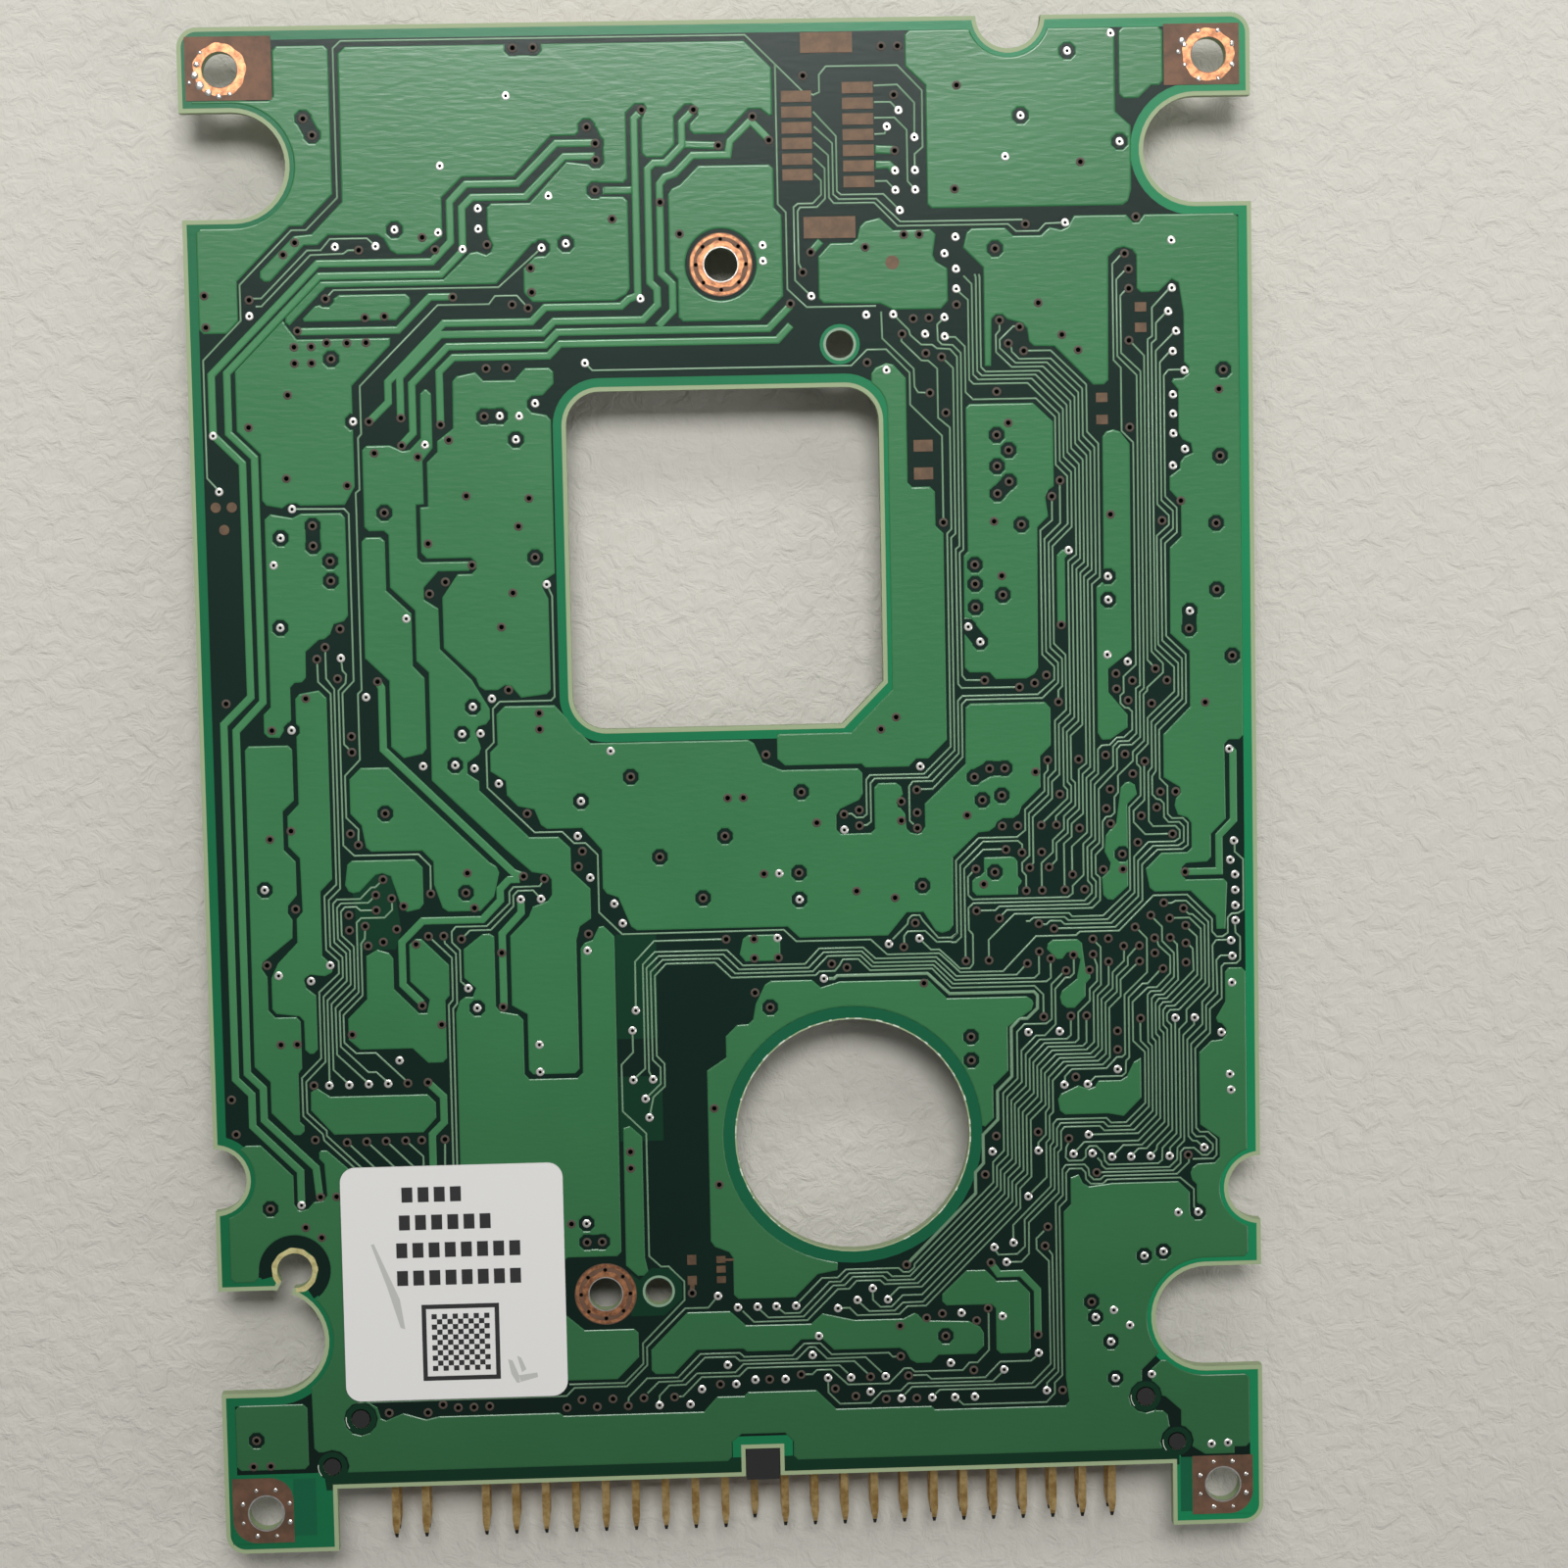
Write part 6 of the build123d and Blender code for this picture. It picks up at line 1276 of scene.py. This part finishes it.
def ring_faces(bm, centre, inner, outer, level, wobble=0.0, first=0.0, sweep=360.0, steps=48):
    """A flat ring, or part of one, with angles in degrees. A wobble roughens its outer edge."""
    rows = []
    for k in range(steps + 1):
        turn = radians(first + sweep * k / steps)
        reach = outer + wobble * (sin(5 * turn) + sin(11 * turn + 1.3)) / 2
        places = [(centre[0] + r * cos(turn), centre[1] + r * sin(turn)) for r in (inner, reach)]
        rows.append([bm.verts.new((x * MM, y * MM, TOP + level * MM)) for x, y in places])
    for a, b in zip(rows, rows[1:]):
        bm.faces.new((a[0], a[1], b[1], b[0]))


def dome(bm, x, y, radius, rise, level):
    """A low dome of solder."""
    made = bmesh.ops.create_uvsphere(bm, u_segments=12, v_segments=6, radius=1.0)["verts"]
    bmesh.ops.scale(bm, verts=made, vec=(radius * MM, radius * MM, rise * MM))
    bmesh.ops.translate(bm, verts=made, vec=(x * MM, y * MM, TOP + level * MM))


def flat_marks(bm, shapes, level):
    """Flat polygons a hair above the surface."""
    for shape in shapes:
        bm.faces.new([bm.verts.new((x * MM, y * MM, TOP + level * MM)) for x, y in shape])


def finish_piece(name, bm, material):
    """The piece that the bmesh describes."""
    bmesh.ops.remove_doubles(bm, verts=bm.verts, dist=1e-7)
    return settle(name, mesh_of(name, bm), material)


def eighths(centre, radius, first=0.0):
    """Eight places evenly round a centre, with the number of each."""
    turns = [first + k * pi / 4 for k in range(8)]
    return [(k, centre[0] + radius * cos(t), centre[1] + radius * sin(t)) for k, t in enumerate(turns)]


print("ring and dome helpers ready")

# %% Scraped rings and their tin
SCRAPE_MM = LAND_MM + 0.006
TIN_RING_MM = LAND_MM + 0.008
bm = bmesh.new()
for corner in ("top_left", "top_right"):
    ring_faces(bm, SCREWS[corner], 1.16, 1.68, SCRAPE_MM, 0.07)
for centre in INNER_SCREWS:
    ring_faces(bm, centre, 1.12, 1.5, SCRAPE_MM, 0.08)
    ring_faces(bm, centre, 1.78, 1.98, SCRAPE_MM, 0.03)
finish_piece("scraped_rings", bm, scraped_copper)

# where the scraping pushed tin up: its rise, then steps from the screw's centre, each with a radius
PUSHED_TIN = {
    "top_left": (0.1, [(-1.45, 0.35, 0.2), (-1.6, -0.35, 0.26), (-1.3, -1.0, 0.3), (-0.75, -1.45, 0.24),
                       (-0.1, -1.7, 0.2), (0.6, -1.55, 0.16), (-1.95, -0.8, 0.16), (-1.2, 1.1, 0.14)]),
    "top_right": (0.09, [(-1.7, 0.9, 0.24), (-1.95, 0.2, 0.18), (1.55, 0.75, 0.16)]),
}
bm = bmesh.new()
for corner in ("low_left", "low_right", "top_right"):
    for k, x, y in eighths(SCREWS[corner], 1.66, pi / 8):
        dome(bm, x, y, 0.15 + 0.03 * sin(3 * k), 0.07, LAND_MM)
for corner, (rise, drops) in PUSHED_TIN.items():
    for right, up, size in drops:
        dome(bm, SCREWS[corner][0] + right, SCREWS[corner][1] + up, size, rise, LAND_MM)
for centre in INNER_SCREWS:
    ring_faces(bm, centre, 1.08, 1.15, TIN_RING_MM)
for corner in ("low_left", "low_right"):
    ring_faces(bm, SCREWS[corner], 1.13, 1.22, TIN_RING_MM)
finish_piece("land_tin", bm, hot_tin)

# the holes round each inner screw are black discs of painted shade
bm = bmesh.new()
for centre in INNER_SCREWS:
    for _, x, y in eighths(centre, 1.62):
        ring_faces(bm, (x, y), 0.0, 0.13, LAND_MM + 0.012, steps=10)
finish_piece("land_hole_shades", bm, painted_hole_shade)
print("lands scraped:", sorted(PUSHED_TIN))

# %% Round test pads and straps
ROUND_PADS = [(11.1, 34.14, 0.45), (-32.95, 19.2, 0.33), (-31.92, 19.2, 0.33), (-32.45, 17.75, 0.33)]
STRAPS = [
    [(-1.1, -31.06), (-0.55, -31.06), (-0.55, -30.9), (-1.1, -30.9)],
    [(-3.5, -33.1), (-3.2, -33.1), (-3.18, -32.6), (-3.48, -32.6)],
]
bm = bmesh.new()
for x, y, radius in ROUND_PADS:
    ring_faces(bm, (x, y), 0.0, radius, LAND_MM + 0.006, steps=24)
flat_marks(bm, STRAPS, LAND_MM + 0.002)
finish_piece("round_pads", bm, pad_copper)
print("round pads:", len(ROUND_PADS))

# %% Keyhole, locating holes and pegs
PEGS = [(-25.4, -40.95, 0.66), (26.68, -41.0, 0.66), (-27.37, -44.1, 0.62), (28.75, -44.1, 0.62)]
bm = bmesh.new()
ring_faces(bm, KEYHOLE, 1.16, 1.5, SKIN_MM + 0.004, 0.05, -88, 305)
finish_piece("keyhole_ring", bm, bare_ring)
bm = bmesh.new()
ring_faces(bm, KEYHOLE, 1.5, 2.25, SKIN_MM + 0.002, 0.0, -58, 252)
finish_piece("keyhole_surround", bm, masked_plane)
bm = bmesh.new()
for centre in LOCATING_HOLES:
    ring_faces(bm, centre, 0.9, 1.06, SKIN_MM + 0.004)
finish_piece("hole_lips", bm, hole_lip)
bm = bmesh.new()
for x, y, bore in PEGS:
    ring_faces(bm, (x, y), bore, bore + 0.36, SKIN_MM + 0.003, steps=24)
finish_piece("peg_rings", bm, masked_bare)
print("keyhole, locating holes and pegs ringed")

# %% Mask over the lower tabs
LAND_REACH_MM = 4
OVERLAP_MM = 0.05
ARC_STEPS = 9
ROUNDED_CORNERS = [("low_right", 270, 1.55), ("low_left", 0, 1.5), ("low_left", 180, 1.6)]
TAB_FIELDS = [
    [(-29.97, -48.7), (-28.5, -48.7), (-28.5, -44.85), (-29.97, -44.85)],
    [(28.95, -48.9), (29.72, -48.9), (29.72, -45.2), (28.95, -45.2)],
]
land_corners = [corner for loop in flat_loops(nodes["screw_lands"]) for corner in loop]


def mask_corner(bm, screw, turn, radius):
    """A flat corner of mask, square outside and round inside, over one corner of a screw land."""
    x, y = SCREWS[screw]
    near = [p for p in land_corners if hypot(p[0] - x, p[1] - y) < LAND_REACH_MM]
    corner, heart = [], []
    for axis, toward in ((0, cos(radians(turn + 45))), (1, sin(radians(turn + 45)))):
        out = 1 if toward > 0 else -1
        edge = out * max(out * p[axis] for p in near)
        corner.append(edge + out * OVERLAP_MM)
        heart.append(edge - out * radius)
    turns = [radians(turn + 90 * k / ARC_STEPS) for k in range(ARC_STEPS + 1)]
    arc = [(heart[0] + radius * cos(t), heart[1] + radius * sin(t)) for t in turns]
    flat_marks(bm, [[first, corner, second] for first, second in zip(arc, arc[1:])], LAND_MM + 0.004)


bm = bmesh.new()
for screw, turn, radius in ROUNDED_CORNERS:
    mask_corner(bm, screw, turn, radius)
finish_piece("land_corners", bm, masked_edge)
bm = bmesh.new()
flat_marks(bm, TAB_FIELDS, SKIN_MM + 0.003)
finish_piece("tab_fields", bm, masked_ring)
print("land corners under mask:", len(ROUNDED_CORNERS))

# %% Bright lips: painted glints
GLINT_STEP = 5
SHADED_SIDE = range(48, 58)
# painted highlights: short pale arcs on each peg's rim and broken dashes round the spindle opening
bm = bmesh.new()
for x, y, bore in PEGS:
    ring_faces(bm, (x, y), bore + 0.29, bore + 0.34, SKIN_MM + 0.005, 0.0, 172, 48, steps=6)
for k in range(360 // GLINT_STEP):
    if k % 7 not in (2, 5) and k not in SHADED_SIDE:
        outer, first = 7.79 + 0.03 * sin(2.6 * k), GLINT_STEP * k + 1.2 * sin(5 * k)
        ring_faces(bm, SPINDLE, 7.715, outer, SKIN_MM + 0.004, 0.0, first, 2.4 + 1.4 * sin(3.1 * k), steps=2)
finish_piece("painted_lip_glints", bm, painted_rim_glint)
print("rims lit at", len(PEGS), "pegs and the spindle opening")

# %% Label print
LABEL_MM = (max(v.co.z for v in nodes["label"].data.vertices) - TOP) / MM
PRINT_MM = LABEL_MM + 0.004
BAR_MM = (0.72, 1.0)
BAR_PITCH_MM = 1.06
ROW_PITCH_MM = 1.85
LOWEST_ROW_MM = -32.1
ROWS = [(-14.6, 8), (-14.6, 8), (-16.5, 6), (-18.4, 4)]
TILE_PLACE = (-21.2, -38.5)
TILE_MM = 5.1
FRAME_MM = 0.3
CELLS = 13


def bar(x, y, wide, high):
    """The corners of a rectangle, from its lower left one."""
    return [(x, y), (x + wide, y), (x + wide, y + high), (x, y + high)]


bars = [
    bar(first - BAR_PITCH_MM * k - BAR_MM[0], LOWEST_ROW_MM + ROW_PITCH_MM * row, *BAR_MM)
    for row, (first, count) in enumerate(ROWS)
    for k in range(count)
]
bm = bmesh.new()
flat_marks(bm, bars, PRINT_MM)
finish_piece("label_bars", bm, print_ink)

west, south = TILE_PLACE
inner = TILE_MM - 2 * FRAME_MM
cell = inner / CELLS
tile_frame = [
    bar(west, south, TILE_MM, FRAME_MM),
    bar(west, south + TILE_MM - FRAME_MM, TILE_MM, FRAME_MM),
    bar(west, south + FRAME_MM, FRAME_MM, inner),
    bar(west + TILE_MM - FRAME_MM, south + FRAME_MM, FRAME_MM, inner),
]
checks = [
    bar(west + FRAME_MM + cell * i, south + FRAME_MM + cell * j, cell, cell)
    for i in range(1, CELLS - 1)
    for j in range(1, CELLS - 1)
    if (i + j) % 2 == 0
]
bm = bmesh.new()
flat_marks(bm, tile_frame + checks, PRINT_MM)
finish_piece("label_tile", bm, print_ink)

bm = bmesh.new()
flat_marks(bm, [
    [(-15.6, -37.2), (-15.3, -37.3), (-14.9, -38.3), (-14.85, -38.8), (-15.05, -38.8), (-15.4, -38.2)],
    [(-14.9, -38.3), (-13.7, -38.15), (-13.65, -38.45), (-14.8, -38.75)],
    [(-15.0, -37.0), (-14.75, -37.1), (-14.4, -37.9), (-14.7, -38.1)],
    [(-24.4, -29.3), (-24.2, -29.25), (-22.6, -33.0), (-22.3, -35.0), (-22.6, -34.9), (-23.4, -32.2)],
], LABEL_MM + 0.003)
finish_piece("label_scuffs", bm, smudge)
print("label:", len(bars), "bars and a tile of", len(checks), "squares")

# %% [markdown]
# ## Floor, light and camera
# The board lies on a pale sheet. A large soft lamp beyond its far edge gives the long highlights on
# every shoulder that faces it, and a weak one overhead fills the shadows. The camera looks almost
# straight down from about 0.22 m.

# %% Floor
FLOOR_HALF_M = 1.5
bm = bmesh.new()
bmesh.ops.create_grid(bm, x_segments=1, y_segments=1, size=FLOOR_HALF_M)
floor_paper = new_material("pale backdrop paper", "#C9C6BD", 0.8)
paper_tree = floor_paper.node_tree
set_bump(floor_paper, noise(paper_tree, object_space(paper_tree, 1.3), 4.0, 0.62, 0.6), 1.0, 0.3)
floor = link("floor", mesh_of("floor", bm), floor_paper)
print("floor", tuple(round(v, 2) for v in floor.dimensions))

# %% Light
world = bpy.data.worlds.new("studio")
world.use_nodes = True
backdrop = world.node_tree.nodes["Background"]
backdrop.inputs["Color"].default_value = colour("#FFFFFF")
backdrop.inputs["Strength"].default_value = 0.2
bpy.context.scene.world = world


def lamp(name, place, size, power, target=(0.0, 0.0, 0.0), spread=180.0):
    """An area lamp aimed at the target. A narrow spread, in degrees, lets its light fall off sideways."""
    data = bpy.data.lights.new(name, "AREA")
    data.shape = "RECTANGLE"
    data.size, data.size_y = size
    data.energy = power
    data.spread = radians(spread)
    light = bpy.data.objects.new(name, data)
    light.location = place
    light.rotation_euler = (Vector(target) - Vector(place)).to_track_quat("-Z", "Y").to_euler()
    bpy.context.scene.collection.objects.link(light)


lamp("ceiling_light", (0.0, 0.3, 0.66), (0.3, 0.2), 0.52, (0.0, 0.12, 0.0), 60.0)
lamp("window_light", (0.0, 0.5, 0.36), (0.4, 0.1), 1.0)
lamp("side_light", (0.42, -0.1, 0.26), (0.1, 0.3), 0.4)

# %% Camera
CAMERA_PLACE = (-0.0045, 0.01737, 0.22413)
CAMERA_TURN = (radians(-4.367), radians(-2.155), radians(-1.163))
camera_data = bpy.data.cameras.new("camera")
camera_data.lens = 77.22
camera_data.sensor_width = 36.0
camera_data.clip_start = 0.01
camera = bpy.data.objects.new("camera", camera_data)
camera.location = CAMERA_PLACE
camera.rotation_euler = CAMERA_TURN
bpy.context.scene.collection.objects.link(camera)
bpy.context.scene.camera = camera
bpy.context.scene.view_settings.view_transform = "Standard"
print("camera height", round(CAMERA_PLACE[2], 3), "m")
